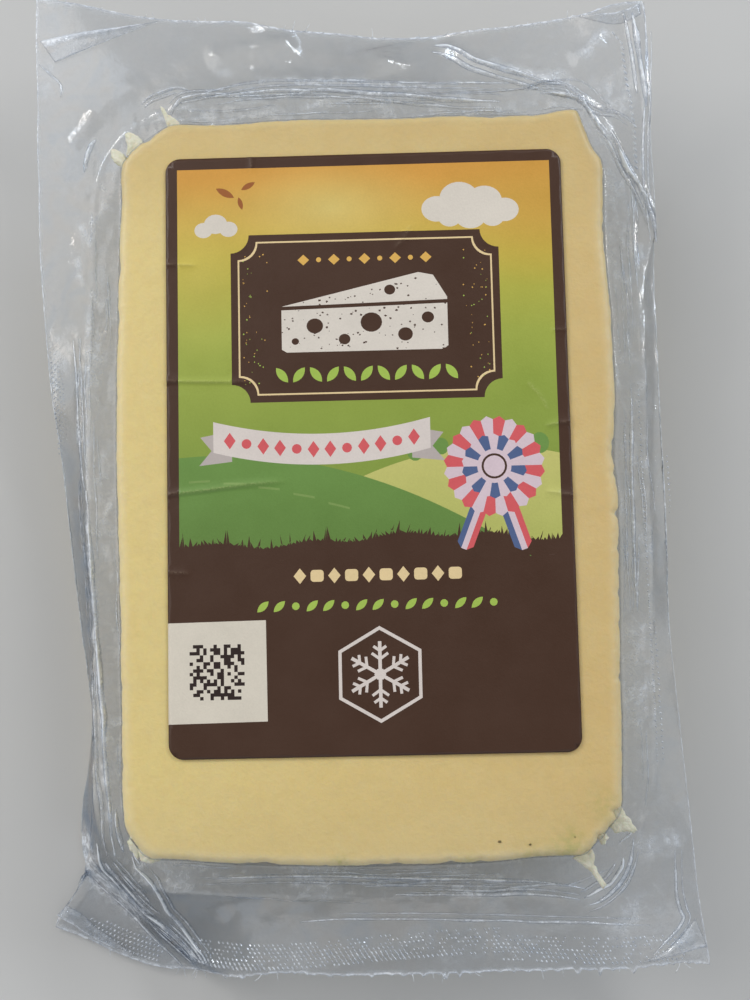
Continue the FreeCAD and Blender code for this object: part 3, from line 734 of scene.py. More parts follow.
def fold_lines():
    rng = random.Random(31)
    out = []
    for name, sort, high, wide, line in FOLDS:
        if sort != "sharp" or high < 0:
            continue
        # each fold is painted white: milky haze by default, a painted highlight on the folds listed above
        fold_whiteness = HIGHLIGHT_FOLDS.get(name, 0.75)
        out.append((line, high * (0.85 if fold_whiteness < 0.95 else 0.62), wide * (0.85 if fold_whiteness < 0.95 else 0.62), fold_whiteness))
        if len(line) > 4:                              # a fainter fold beside it
            p = np.array(line, float)
            d = np.gradient(p, axis=0)
            d /= np.linalg.norm(d, axis=1)[:, None]
            side = rng.choice((-1, 1))
            off = (wide * 1.1 + rng.uniform(0.25, 0.8)) * side
            a, b = (1, len(p)) if rng.random() < 0.5 else (0, len(p) - 1)
            out.append(([tuple(v) for v in (p + np.c_[-d[:, 1], d[:, 0]] * off)[a:b]], high * 0.4, wide * 0.5, 0.5))
    for line, high, half in (
            (((-38.6, -72.9), (-36.2, -75.2), (-33.9, -77.3), (-31.4, -79.9)), 0.3, 0.26),
            (((-37.6, -72.2), (-35.3, -74.4), (-33.1, -76.6), (-30.7, -79.2)), 0.3, 0.26),
            (((-35.6, -72.0), (-33.4, -74.3), (-31.2, -76.7), (-29.2, -79.2)), 0.3, 0.24),
            (((-33.4, -71.8), (-31.4, -74.2), (-29.6, -76.6), (-28.0, -79.0)), 0.28, 0.24),
            (((-50.0, -64.6), (-46.4, -67.8), (-42.9, -71.0), (-39.6, -74.4), (-36.2, -77.9), (-33.6, -80.6)), 0.35, 0.35),
            (((47.2, 80.2), (47.6, 76.0), (48.2, 71.4), (48.7, 67.4), (49.0, 63.6)), 0.55, 0.50),
            (((45.6, 80.6), (46.4, 75.8), (47.0, 70.2), (47.4, 66.0)), 0.3, 0.3),
            (((32.0, 66.6), (35.4, 66.2), (37.6, 65.4), (39.0, 63.8), (40.2, 61.4), (41.4, 59.4)), 0.6, 0.4),
            (((43.0, 59.6), (44.6, 56.0), (46.2, 52.4), (47.6, 48.6), (48.8, 45.0)), 0.5, 0.4)):
        # the widest extra line is painted whitest, a painted highlight along the back right ridge; the others are
        # painted milky
        out.append((line, high, half, 1.5 if half > 0.45 else 0.8))
    return out


def fine_lines():
    """Hair-fine creases that run along the block's sides."""
    rng = random.Random(77)
    out = []
    spans = ((0, 22, 1.6, 8.5), (1, 17, 1.2, 7.0), (2, 12, 1.6, 7.5), (3, 24, 1.4, 8.5))
    ends = CORNERS + [CORNERS[0] + TOTAL]
    for side, many, near, far in spans:
        s0, s1 = ends[side] + 2.0, ends[side + 1] - 2.0
        for _ in range(many):
            length = rng.uniform(5, 24)
            at = rng.uniform(s0, max(s1 - length, s0 + 1))
            d0 = near + (far - near) * rng.random()
            drift = rng.uniform(-0.8, 0.8)
            s = np.linspace(at, at + length, max(int(length / 2.5), 4))
            n = outward(s, 1.5)
            wob = rng.uniform(0, 100)
            off = d0 + drift * (s - at) / length + 0.25 * vnoise(s / 4.0, wob, 0, 95)
            p = on_outline(s) + n * off[:, None]
            out.append(([tuple(v) for v in p], rng.uniform(0.05, 0.16), rng.uniform(0.09, 0.2), rng.uniform(0.2, 0.9)))
    return out


folds = crease_strips("film_folds", fold_lines(), 0.4)
fine = crease_strips("film_fine_creases", fine_lines(), 0.5)


def seal_dots():
    """The seal's small raised marks, in slanting rows."""
    rng = random.Random(5)
    V, F, dot_milk_and_glint = [], [], []
    pitch = 0.92

    # each mark is painted milky white: the seal's own milkiness with painted glints on its slopes
    def mark(x, y, long, wide, tall, lean, milk_and_glint=0.5):
        z, n = film_at(x, y)
        if z < 0.3:
            return
        t = Vector((math.cos(lean), math.sin(lean), 0))
        t = (t - n * t.dot(n)).normalized()
        b = n.cross(t)
        c = Vector((x, y, z))
        base = len(V)
        for u, v in ((1, 0), (0.45, 0.8), (-0.45, 0.8), (-1, 0), (-0.45, -0.8), (0.45, -0.8)):
            V.append(tuple(c + t * (u * long / 2) + b * (v * wide / 2) - n * 0.04))
        for u, v in ((0.5, 0), (-0.5, 0)):
            V.append(tuple(c + t * (u * long / 2) + b * (v * wide / 2) + n * tall))
        p, q = base + 6, base + 7
        dot_milk_and_glint.extend([milk_and_glint * 0.9] * 6 + [milk_and_glint] * 2)
        F.extend([(base, base + 1, p), (base + 1, base + 2, q, p), (base + 2, base + 3, q),
                  (base + 3, base + 4, q), (base + 4, base + 5, p, q), (base + 5, base, p),
                  (base + 5, base + 4, base + 3, base + 2, base + 1, base)])

    # along the front: four or five rows that fade towards the right
    for row in range(7):
        for k in range(112):
            x = -31.5 + k * pitch * 0.83 + (row % 2) * pitch * 0.41 + rng.uniform(-0.05, 0.05)
            if x > 50.5:
                continue
            y = -78.7 + row * 0.65 + 0.5 * math.sin(x / 9.0) + (0.8 if x > 20 else 0.04 * (x + 31)) + rng.uniform(-0.05, 0.05)
            fade = (1 - 0.5 * row / 7) * (1.0 if x < 5 else 0.7) * (0.75 + 0.25 * math.sin(x / 5.0 + row))
            if rng.random() > fade + 0.25:
                continue
            mark(x, y, 0.72 * fade + 0.2, 0.34, 0.2 * fade + 0.04, -0.9 + rng.uniform(-0.1, 0.1))
    # on the folded corner
    for row in range(5):
        for k in range(20):
            f = (k + 0.5 * (row % 2)) / 19.0
            if f > 1 or (row == 4 and f < 0.2):
                continue
            x = -50.6 + (-37.8 + 50.6) * f + row * 0.38
            y = -74.2 + (-79.4 + 74.2) * f + 0.7 * math.sin(math.pi * f) * -0.6 + row * 0.66
            if ((x + 50.3) * 0.647 + (y + 64.9) * 0.763) > -0.9:
                continue
            mark(x, y, 0.56, 0.38, 0.16, 0.6 + rng.uniform(-0.2, 0.2))
    # the left side's patch
    for row in range(4):
        for k in range(24):
            y = 27.0 - k * 0.86 - (row % 2) * 0.43
            x = -54.0 + row * 0.62 + (27.0 - y) * 0.055 + rng.uniform(-0.05, 0.05)
            fade = math.sin(math.pi * min(max((27.0 - y) / 20.5, 0.02), 0.98)) ** 0.5 * (1 - 0.18 * row)
            mark(x, y, 0.6 * fade + 0.1, 0.34, 0.17 * fade + 0.02, 0.7)
    # the right side's columns
    line = np.array([(43.7, 77.0), (45.2, 75.0), (45.5, 71.0), (46.3, 64.8), (46.8, 60.1), (46.8, 55.6), (46.9, 52.2)])
    run = np.r_[0, np.cumsum(np.linalg.norm(np.diff(line, axis=0), axis=1))]
    for s in np.arange(0.3, run[-1], 1.05):
        x, y = np.interp(s, run, line[:, 0]), np.interp(s, run, line[:, 1])
        # these marks are painted whitest, as painted glints on the embossed marks
        mark(x, y, 1.0, 0.5, 0.3, -0.9, 1.1)
    for col, (x0, y0, x1, y1) in enumerate(((45.6, 16.0, 45.8, -22.0), (45.8, -19.0, 46.2, -46.8), (46.7, -23.4, 47.2, -46.8), (50.2, 4.0, 50.4, -6.0))):
        L = abs(y1 - y0)
        for s in np.arange(0.2, L, 0.93):
            f = s / L
            fade = math.sin(math.pi * (0.06 + 0.9 * f)) * 0.85 + 0.1
            mark(x0 + (x1 - x0) * f + rng.uniform(-0.06, 0.06), y0 + (y1 - y0) * f, 0.42 * fade + 0.16, 0.36, 0.14 * fade + 0.03, -0.6)
    ob = mesh_object("film_seal_dots", np.array(V), F, smooth_faces=False)
    vertex_value(ob, "white", dot_milk_and_glint)
    return ob


dots = seal_dots()


def whiskers():
    """Hair-like shreds of film along the two cut ends."""
    rng = random.Random(23)
    V, F = [], []
    for pts, sign, many in ((BACK_EDGE, 1, 18), (FRONT_EDGE, -1, 30)):
        p = resample(pts, 0.3)
        for _ in range(many):
            k = rng.randrange(8, len(p) - 8)
            x, y, _z = p[k]
            z, n = film_at(x, y - sign * 0.5)
            z = max(z, 0.3)
            length = 0.5 + rng.random() ** 2 * 1.5
            ang = math.pi / 2 * sign + rng.uniform(-0.9, 0.9)
            bend = rng.uniform(-1.2, 1.2)
            at = Vector((x, y - sign * 0.15, z - SHEET * 0.5))
            rings = []
            for s in range(5):
                f = s / 4.0
                r = 0.045 * (1 - 0.8 * f) + 0.01
                d = Vector((math.cos(ang), math.sin(ang), 0.15))
                side = Vector((-d.y, d.x, 0)).normalized()
                up = Vector((0, 0, 1))
                base = len(V)
                for c in range(3):
                    t = 2 * math.pi * c / 3
                    V.append(tuple(at + side * (r * 1.6 * math.cos(t)) + up * (r * math.sin(t))))
                rings.append(base)
                at = at + d * (length / 4)
                ang += bend / 4
            F.append((rings[0] + 2, rings[0] + 1, rings[0]))
            for s in range(4):
                for c in range(3):
                    a, b = rings[s] + c, rings[s] + (c + 1) % 3
                    F.append((a, b, rings[s + 1] + (c + 1) % 3, rings[s + 1] + c))
            F.append((rings[4], rings[4] + 1, rings[4] + 2))
    return mesh_object("film_edge_shreds", np.array(V), F)


shreds = whiskers()


# ---------------------------------------------------------------- cheese
DENTS = (
    (40.5, 0.4, 0.35, 0.7), (40.5, -6.2, 0.5, 0.6), (40.4, -11.8, 0.35, 0.6), (40.3, -18.8, 0.3, 0.7), (40.2, -23.7, 0.3, 0.6), (40.0, -32.2, 0.5, 0.55),
    (39.9, 10.2, 0.4, 0.7), (39.4, 6.9, 0.5, 0.5), (39.8, 5.3, 0.35, 0.6), (39.9, 3.6, 0.3, 1.0), (39.8, -6.2, 0.4, 0.5),
    (39.8, -10.4, 0.35, 0.6), (39.7, -15.5, 0.4, 0.6), (38.6, -53.4, 1.2, 0.7), (35.9, -57.4, 0.9, 0.7), (33.6, -59.9, 1.0, 0.6),
    (-20.0, -60.6, 0.35, 0.9), (-17.2, -60.6, 0.45, 1.6), (0.8, -60.5, 0.3, 1.8), (3.6, -60.5, 0.35, 1.0), (12.0, -60.6, 0.4, 1.2),
    (16.5, -60.6, 0.3, 0.9), (-40.0, 36.0, 0.3, 1.4), (-40.0, 27.5, 0.25, 1.2), (-34.8, 57.6, 0.5, 0.9), (22.0, 60.5, 0.25, 2.0),
    (-39.7, -44.5, 0.25, 0.8), (-39.9, -32.0, 0.2, 0.8), (39.9, 28.0, 0.2, 1.0), (40.0, 41.0, 0.25, 0.8))


def build_cheese():
    count = 920
    s = np.linspace(0, TOTAL, count, endpoint=False)
    a, n = on_outline(s), outward(s, 1.6)
    rough = 0.10 * fbm(a[:, 0] / 2.4, a[:, 1] / 2.4, 0, 3, 61) + 0.05 * vnoise(a[:, 0] / 0.7, a[:, 1] / 0.7, 0, 62)
    dent = np.zeros(count)
    for x, y, deep, wide in DENTS:
        d = np.hypot(a[:, 0] - x, a[:, 1] - y)
        dent += deep * np.clip(1 - d / (wide * 1.5), 0, 1)
    R = 1.5
    rows, depth = [], []
    ring0 = drawn(s, -3.4)
    for share in (0.15, 0.4, 0.65, 0.8, 0.88, 0.94):
        rows.append(np.c_[ring0 * share, np.full(count, TOP)]); depth.append(9)
    for d in (-3.4, -2.9, -2.4, -2.0, -1.7):
        rows.append(np.c_[drawn(s, d), np.full(count, TOP)]); depth.append(-d)
    for ang in range(8, 91, 8):
        t = math.radians(ang)
        rows.append(np.c_[drawn(s, -R + R * math.sin(t)), np.full(count, TOP - R * (1 - math.cos(t)))])
        depth.append(R - R * math.sin(t))
    for z in (17.8, 16.6, 15.2, 13.6, 12.0, 10.0, 8.0, 6.0, 4.0, 2.6):
        rows.append(np.c_[a, np.full(count, z)]); depth.append(0)
    for ang in range(90, -1, -18):
        t = math.radians(ang)
        rows.append(np.c_[drawn(s, -R + R * math.sin(t)), np.full(count, BASE + R * (1 - math.cos(t)))])
        depth.append(R - R * math.sin(t))
    for share in (1.0, 0.7, 0.4, 0.12):
        rows.append(np.c_[ring0 * share, np.full(count, BASE)]); depth.append(9)
    P = np.array(rows)
    depth = np.array(depth, float)[:, None]
    X, Y, Z = P[..., 0], P[..., 1], P[..., 2]
    upper = Z > 13
    strength = np.clip(1 - depth / 2.6, 0, 1) * smooth(8, 15, Z)
    shove = rough[None, :] * strength - dent[None, :] * strength * smooth(12.5, 18.6, Z)
    shove -= 0.05 * strength
    X = X + n[None, :, 0] * shove
    Y = Y + n[None, :, 1] * shove
    # the top is pressed a little uneven, and the wall has been cut
    Z = Z + np.where((P[..., 2] > TOP - 0.9), -0.05 + 0.035 * fbm(X / 9.0, Y / 9.0, 0, 2, 63) - 0.05 * strength * (1 + vnoise(X / 1.6, Y / 1.6, 0, 64)), 0)
    grain = 0.06 * fbm(X / 1.3 + Z * 0.2, Y / 1.3, Z / 2.5, 3, 66) * (P[..., 2] < TOP - 0.5) * (P[..., 2] > 1.5)
    X = X + n[None, :, 0] * (grain - 0.05 * (P[..., 2] < 19))
    Y = Y + n[None, :, 1] * (grain - 0.05 * (P[..., 2] < 19))
    P = np.stack([X, Y, np.maximum(Z, BASE * 0.6)], -1)
    rows_n = len(P)
    verts = np.vstack([[0, 0, TOP - 0.05], P.reshape(-1, 3), [0, 0, BASE]])
    i = np.arange(count)
    j2 = (i + 1) % count
    faces = [tuple(f) for f in np.c_[np.zeros(count, int), 1 + j2, 1 + i]]
    for r in range(rows_n - 1):
        b0, b1 = 1 + r * count, 1 + (r + 1) * count
        faces += [tuple(f) for f in np.c_[b0 + i, b0 + j2, b1 + j2, b1 + i]]
    last = 1 + (rows_n - 1) * count
    faces += [tuple(f) for f in np.c_[np.full(count, len(verts) - 1), last + i, last + j2]]
    ob = mesh_object("vegan_cheese", verts, faces)
    rim = np.r_[0.0, (np.clip(1 - depth / 2.2, 0, 1) * np.ones((1, count))).ravel(), 0.0]
    vertex_value(ob, "rim", rim)
    green = np.zeros(len(verts))
    for x, y, r, g in ((-5.2, -60.2, 1.3, 1.0), (14.6, -60.8, 1.6, 0.7), (25.0, -60.4, 2.6, 0.6), (30.4, -58.6, 2.6, 0.8), (36.2, -52.0, 2.4, 0.5), (31.4, -56.6, 0.9, 0.5)):
        green += g * np.exp(-((verts[:, 0] - x) ** 2 + (verts[:, 1] - y) ** 2) / r ** 2)
    vertex_value(ob, "green", np.clip(green, 0, 1))
    return ob


cheese = build_cheese()


def blob(outline, z_mid, thick, ragged_by=0.0, rings=5, soften=2):
    """A small flattened lump whose outline in plan is given."""
    p = np.array(outline, float)
    closed = np.vstack([p, p[:1]])
    run = np.r_[0, np.cumsum(np.linalg.norm(np.diff(closed, axis=0), axis=1))]
    m = 56
    at = np.linspace(0, run[-1], m, endpoint=False)
    ring = np.c_[np.interp(at, run, closed[:, 0]), np.interp(at, run, closed[:, 1])]
    for _ in range(soften):
        ring = 0.5 * ring + 0.25 * (np.roll(ring, 1, 0) + np.roll(ring, -1, 0))
    c = ring.mean(0)
    if ragged_by:
        out = (ring - c) / np.linalg.norm(ring - c, axis=1)[:, None]
        ring = ring + out * (ragged_by * vnoise(ring[:, 0] / 0.45, ring[:, 1] / 0.45, 0, 72))[:, None]
    V, F = [], []
    shares = [math.sin(math.pi / 2 * (k + 1) / rings) for k in range(rings)]
    V.append((c[0], c[1], z_mid + thick / 2))
    for s in shares:
        for q in ring:
            x, y = c + (q - c) * s
            V.append((x, y, z_mid + thick / 2 * math.sqrt(max(1 - s * s, 0)) + 0.12 * float(vnoise(x / 0.8, y / 0.8, 0, 71))))
    for s in shares[-2::-1]:
        for q in ring:
            x, y = c + (q - c) * s
            V.append((x, y, z_mid - thick / 2 * math.sqrt(max(1 - s * s, 0))))
    V.append((c[0], c[1], z_mid - thick / 2))
    total = 2 * rings - 1
    for q in range(m):
        F.append((0, 1 + q, 1 + (q + 1) % m))
    for r in range(total - 1):
        for q in range(m):
            a, b = 1 + r * m + q, 1 + r * m + (q + 1) % m
            F.append((a, a + m, b + m, b))
    last = 1 + (total - 1) * m
    for q in range(m):
        F.append((len(V) - 1, last + (q + 1) % m, last + q))
    return V, F


def joined(name, parts, smooth_faces=True):
    V, F = [], []
    for v, f in parts:
        base = len(V)
        V += v
        F += [tuple(q + base for q in t) for t in f]
    return mesh_object(name, np.array(V), F, smooth_faces)


bits = joined("cheese_smears", [
    blob(((-39.5, 60.0), (-39.0, 60.5), (-38.0, 60.2), (-37.1, 59.3), (-36.2, 58.4), (-35.4, 57.0), (-36.6, 55.8), (-38.0, 55.2), (-39.2, 56.4), (-39.2, 58.1)), 16.9, 1.3, 0.16, soften=1),
    blob(((-42.1, 57.5), (-41.5, 57.7), (-40.6, 57.3), (-39.8, 56.8), (-39.2, 56.1), (-38.2, 54.6), (-38.4, 53.2), (-39.6, 53.6), (-40.4, 54.6), (-41.1, 55.1), (-42.0, 56.1)), 16.3, 1.2, 0.14, soften=1),
    blob(((-33.7, 65.2), (-33.0, 64.7), (-32.4, 63.5), (-31.5, 62.9), (-30.6, 62.3), (-29.6, 60.8), (-31.4, 60.2), (-32.4, 61.2), (-32.8, 62.8), (-33.3, 63.8)), 16.4, 0.9, 0.12, soften=1),
    blob(((37.2, -55.7), (37.6, -53.4), (38.6, -52.2), (39.5, -52.9), (40.2, -54.1), (40.7, -55.0), (41.7, -56.4), (41.2, -56.8), (40.1, -56.6), (39.0, -56.7), (38.1, -56.6)), 17.0, 1.0, 0.2, soften=0),
    blob(((31.4, -60.6), (32.4, -59.8), (33.9, -59.6), (34.5, -59.2), (34.9, -60.3), (34.7, -61.5), (35.4, -63.0), (36.6, -64.8), (35.9, -65.4), (35.2, -64.2), (34.4, -63.1), (33.2, -61.9)), 16.4, 0.9, 0.18, soften=0),
    blob(((-38.9, -55.4), (-38.0, -55.6), (-37.2, -57.0), (-36.9, -58.4), (-37.7, -59.5), (-38.9, -58.1), (-39.4, -57.0)), 16.8, 1.0, 0.2, soften=1),
    blob(((-37.7, -57.8), (-36.4, -57.6), (-34.9, -58.0), (-33.2, -58.3), (-33.7, -59.6), (-35.7, -60.2), (-37.2, -59.7)), 17.4, 1.0, 0.2, soften=1),
    blob(((35.4, -57.2), (36.6, -56.6), (37.2, -57.4), (36.5, -58.6), (35.6, -58.2)), 16.8, 0.9, 0.2, soften=0),
])
vertex_value(bits, "rim", np.ones(len(bits.data.vertices)))
vertex_value(bits, "green", np.full(len(bits.data.vertices), 0.15))

specks = joined("cheese_specks", [
    blob(((19.3, -57.25), (19.5, -56.95), (19.85, -57.0), (19.9, -57.25), (19.6, -57.35)), TOP + 0.02, 0.12, rings=3),
    blob(((24.1, -57.65), (24.3, -57.5), (24.55, -57.55), (24.5, -57.8), (24.25, -57.85)), TOP + 0.02, 0.1, rings=3),
    blob(((31.2, -56.65), (31.35, -56.55), (31.5, -56.65), (31.4, -56.8)), TOP + 0.01, 0.07, rings=3),
])


# ---------------------------------------------------------------- colours
LIGHT = 0.79         # how bright the studio light shows a white matt face


def tone(r, g, b, level=1.0, sheen=0.0):
    """Base colour of a face that should look like this screen colour under the studio light."""
    out = []
    for c in (r, g, b):
        c = c / 255.0
        c = c / 12.92 if c <= 0.04045 else ((c + 0.055) / 1.055) ** 2.4
        out.append(min(max(c / LIGHT * level - sheen, 0.004), 0.95))
    return (*out, 1.0)


class Nodes:
    """A material's node tree, built step by step."""

    def __init__(self, name):
        self.mat = bpy.data.materials.new(name)
        self.mat.use_nodes = True
        self.tree = self.mat.node_tree
        self.tree.nodes.clear()
        self.out = self.tree.nodes.new("ShaderNodeOutputMaterial")
        self.at = self.tree.nodes.new("ShaderNodeTexCoord").outputs["Object"]

    def node(self, kind, **set_):
        n = self.tree.nodes.new(kind)
        for key, value in set_.items():
            setattr(n, key, value)
        return n

    def link(self, a, b):
        self.tree.links.new(a, b)

    def put(self, socket, value):
        if hasattr(value, "is_output"):
            self.link(value, socket)
        else:
            socket.default_value = value

    def noise(self, scale, detail=3.0, rough=0.55, stretch=None, distort=0.0):
        n = self.node("ShaderNodeTexNoise")
        n.inputs["Scale"].default_value = scale
        n.inputs["Detail"].default_value = detail
        n.inputs["Roughness"].default_value = rough
        n.inputs["Distortion"].default_value = distort
        vec = self.at
        if stretch:
            m = self.node("ShaderNodeMapping")
            m.inputs["Scale"].default_value = stretch
            self.link(self.at, m.inputs["Vector"])
            vec = m.outputs["Vector"]
        self.link(vec, n.inputs["Vector"])
        return n.outputs["Fac"]

    def fit(self, value, a, b, c=0.0, d=1.0):
        n = self.node("ShaderNodeMapRange", clamp=True)
        self.link(value, n.inputs["Value"])
        for key, v in (("From Min", a), ("From Max", b), ("To Min", c), ("To Max", d)):
            n.inputs[key].default_value = v
        return n.outputs["Result"]

    def math(self, op, a, b=0.0, clamp=False):
        n = self.node("ShaderNodeMath", operation=op, use_clamp=clamp)
        self.put(n.inputs[0], a)
        self.put(n.inputs[1], b)
        return n.outputs[0]

    def mix(self, fac, a, b, blend="MIX"):
        n = self.node("ShaderNodeMix", data_type="RGBA", blend_type=blend)
        self.put(n.inputs[0], fac)
        self.put(n.inputs[6], a)
        self.put(n.inputs[7], b)
        return n.outputs[2]

    def attribute(self, name):
        return self.node("ShaderNodeAttribute", attribute_name=name).outputs["Fac"]

    def axis(self, k):
        n = self.node("ShaderNodeSeparateXYZ")
        self.link(self.at, n.inputs[0])
        return n.outputs[k]

    def bump(self, height, strength, distance):
        n = self.node("ShaderNodeBump")
        n.inputs["Strength"].default_value = strength
        n.inputs["Distance"].default_value = distance
        self.link(height, n.inputs["Height"])
        return n.outputs["Normal"]

    def principled(self, colour, rough, **more):
        n = self.node("ShaderNodeBsdfPrincipled")
        self.put(n.inputs["Base Color"], colour)
        self.put(n.inputs["Roughness"], rough)
        for key, value in more.items():
            self.put(n.inputs[key.replace("_", " ")], value)
        return n.outputs[0]

    def finish(self, shader):
        self.link(shader, self.out.inputs["Surface"])
        return self.mat


# ---------------------------------------------------------------- film material
def film_material(name, base_haze, whiteness_gain, edge=False):
    g = Nodes(name)
    cloudy = g.noise(420.0, 4.0, 0.6)
    fine = g.noise(2600.0, 2.0, 0.5)
    tight = g.attribute("tight")
    # the white attribute paints the film lighter: milky haze, and along the brightest folds painted highlights; the
    # milky shader paints both
    whiteness = g.attribute("white")
    solid = g.fit(whiteness, 0.75, 1.15)
    whiteness = g.math("MULTIPLY", whiteness, whiteness_gain)
    whiteness = g.math("ADD", whiteness, base_haze)
    flecks = g.noise(760.0, 4.0, 0.65, distort=0.6)
    uneven = g.math("ADD", g.fit(cloudy, 0.3, 0.7, 0.45, 0.9), g.fit(flecks, 0.47, 0.60, 0.0, 1.1))
    uneven = g.math("ADD", g.math("MULTIPLY", uneven, g.math("SUBTRACT", 1.0, solid)), g.math("MULTIPLY", solid, 0.95))
    whiteness = g.math("MULTIPLY", whiteness, uneven, clamp=True)
    clear = g.node("ShaderNodeBsdfTransparent")
    thick = g.node("ShaderNodeLayerWeight")
    thick.inputs["Blend"].default_value = 0.5
    g.put(clear.inputs["Color"], g.mix(g.math("MULTIPLY", g.math("POWER", thick.outputs["Facing"], 1.7), g.math("SUBTRACT", 1.0, g.math("MULTIPLY", tight, 0.85))), (0.975, 0.979, 0.984, 1.0), (0.44, 0.48, 0.54, 1.0)))
    milk_and_glint = g.principled(g.mix(g.fit(cloudy, 0.35, 0.65), (0.80, 0.86, 0.95, 1.0), (0.90, 0.94, 1.0, 1.0)), 0.28)
    body = g.node("ShaderNodeMixShader")
    g.link(whiteness, body.inputs[0])
    g.link(clear.outputs[0], body.inputs[1])
    g.link(milk_and_glint, body.inputs[2])
    normal = g.bump(g.math("ADD", cloudy, g.math("MULTIPLY", fine, 0.2)), 0.16, 0.0006)
    gloss = g.node("ShaderNodeBsdfAnisotropic")
    hue = g.noise(140.0, 2.0, 0.5, distort=1.5)
    tint = g.mix(g.fit(hue, 0.36, 0.47), (1.0, 0.93, 0.87, 1.0), (0.97, 0.98, 1.0, 1.0))
    g.put(gloss.inputs["Color"], g.mix(g.fit(hue, 0.52, 0.64), tint, (0.76, 0.86, 1.0, 1.0)))
    g.put(gloss.inputs["Roughness"], g.math("ADD", g.fit(fine, 0.3, 0.7, 0.06, 0.11), g.math("MULTIPLY", tight, 0.22)))
    g.link(normal, gloss.inputs["Normal"])
    edge_on = g.node("ShaderNodeLayerWeight")
    edge_on.inputs["Blend"].default_value = 0.5
    g.link(normal, edge_on.inputs["Normal"])
    amount = g.math("ADD", g.math("MULTIPLY", g.math("POWER", edge_on.outputs["Facing"], 4.0), 0.62), 0.055, clamp=True)
    amount = g.math("MULTIPLY", amount, g.math("SUBTRACT", 1.0, g.math("MULTIPLY", tight, 0.72)))
    both = g.node("ShaderNodeMixShader")
    g.link(amount, both.inputs[0])
    g.link(body.outputs[0], both.inputs[1])
    g.link(gloss.outputs[0], both.inputs[2])
    return g.finish(both.outputs[0])


clear_film = film_material("clear_pack_film", 0.015, 0.80)
seal_film = film_material("pressed_seal_film", 0.36, 0.45)
film.data.materials.append(clear_film)
for ob in loose + [folds, fine]:
    ob.data.materials.append(clear_film)
dots.data.materials.append(seal_film)
shreds.data.materials.append(seal_film)
vertex_value(shreds, "white", np.full(len(shreds.data.vertices), 0.8))


# ---------------------------------------------------------------- cheese material
def cheese_material():
    g = Nodes("pale_yellow_cheese")
    x, y = g.axis(0), g.axis(1)
    # Lighter and yellower on the left, darker on the right: partly the cheese's own shift in hue, partly painted light
    # falling from the left. A paler band towards the front. Darker towards the back: painted shade.
    across = g.fit(x, (MID_X - 40) * 0.001, (MID_X + 40) * 0.001)
    left, right = tone(224, 199, 131, 1.04), tone(206, 177, 117, 1.03)
    base = g.mix(across, left, right)
    down = g.fit(y, (MID_Y - 46) * 0.001, (MID_Y - 60) * 0.001)
    base = g.mix(g.math("MULTIPLY", down, 0.5), base, tone(206, 186, 135, 0.98))
    rear_painted_shade = g.fit(y, (MID_Y + 38) * 0.001, (MID_Y + 58) * 0.001)
    base = g.mix(g.math("MULTIPLY", rear_painted_shade, 0.8), base, tone(205, 178, 120, 0.98))
    patch = g.noise(95.0, 4.0, 0.6)
    base = g.mix(g.fit(patch, 0.38, 0.66, 0.0, 0.22), base, tone(222, 202, 146))
    mottle = g.noise(520.0, 5.0, 0.62)
    base = g.mix(g.fit(mottle, 0.42, 0.72, 0.0, 0.16), base, tone(188, 162, 100))
    # The rounded top edge is painted paler: the milky film over it with a painted highlight, darker at the back as
    # painted shade and lighter at the front as painted light.
    rim_milk_and_highlight = g.math("MULTIPLY", g.attribute("rim"), g.fit(g.noise(700.0, 3.0), 0.3, 0.6, 0.5, 0.95))
    rim_light_and_shade = g.mix(rear_painted_shade, tone(216, 199, 155), tone(186, 168, 122))
    rim_light_and_shade = g.mix(g.math("MULTIPLY", down, 0.8), rim_light_and_shade, tone(226, 211, 174))
    base = g.mix(rim_milk_and_highlight, base, rim_light_and_shade)
    base = g.mix(g.math("MULTIPLY", g.attribute("green"), g.fit(g.noise(900.0, 2.0), 0.35, 0.6, 0.15, 0.75)), base, tone(168, 164, 92))
    relief = g.math("ADD", g.noise(1500.0, 4.0, 0.6), g.math("MULTIPLY", g.noise(330.0, 2.0), 1.4))
    s = g.principled(base, g.fit(mottle, 0.3, 0.7, 0.42, 0.56), Subsurface_Weight=0.22, Subsurface_Scale=0.0022,
                     Normal=g.bump(relief, 0.25, 0.0003))
    sss = [n for n in g.tree.nodes if n.type == "BSDF_PRINCIPLED"][0]
    sss.inputs["Subsurface Radius"].default_value = (1.0, 0.75, 0.35)
    return g.finish(s)


cheese_mat = cheese_material()
cheese.data.materials.append(cheese_mat)
g = Nodes("pale_smeared_cheese")
wet = g.noise(900.0, 4.0, 0.6)
bits.data.materials.append(g.finish(g.principled(
    g.mix(g.fit(wet, 0.35, 0.65), tone(212, 210, 194), tone(198, 196, 172)), g.fit(wet, 0.3, 0.7, 0.3, 0.5), Subsurface_Weight=0.08,
    Subsurface_Scale=0.0012, Normal=g.bump(g.math("ADD", wet, g.noise(2400.0, 2.0)), 0.4, 0.0003))))
g = Nodes("dark_grain")
specks.data.materials.append(g.finish(g.principled(g.mix(g.noise(3000.0), tone(120, 104, 56), tone(84, 70, 40)), 0.6)))


# ---------------------------------------------------------------- label: its fields of colour
# u runs right from the label's left edge, v down from its top edge.
def rounded_rect(u0, v0, u1, v1, r, n=8):
    out = []
    for cu, cv, a in ((u1 - r, v0 + r, -90), (u1 - r, v1 - r, 0), (u0 + r, v1 - r, 90), (u0 + r, v0 + r, 180)):
        for k in range(n + 1):
            t = math.radians(a + 90 * k / n)
            out.append((cu + r * math.cos(t), cv + r * math.sin(t)))
    return out


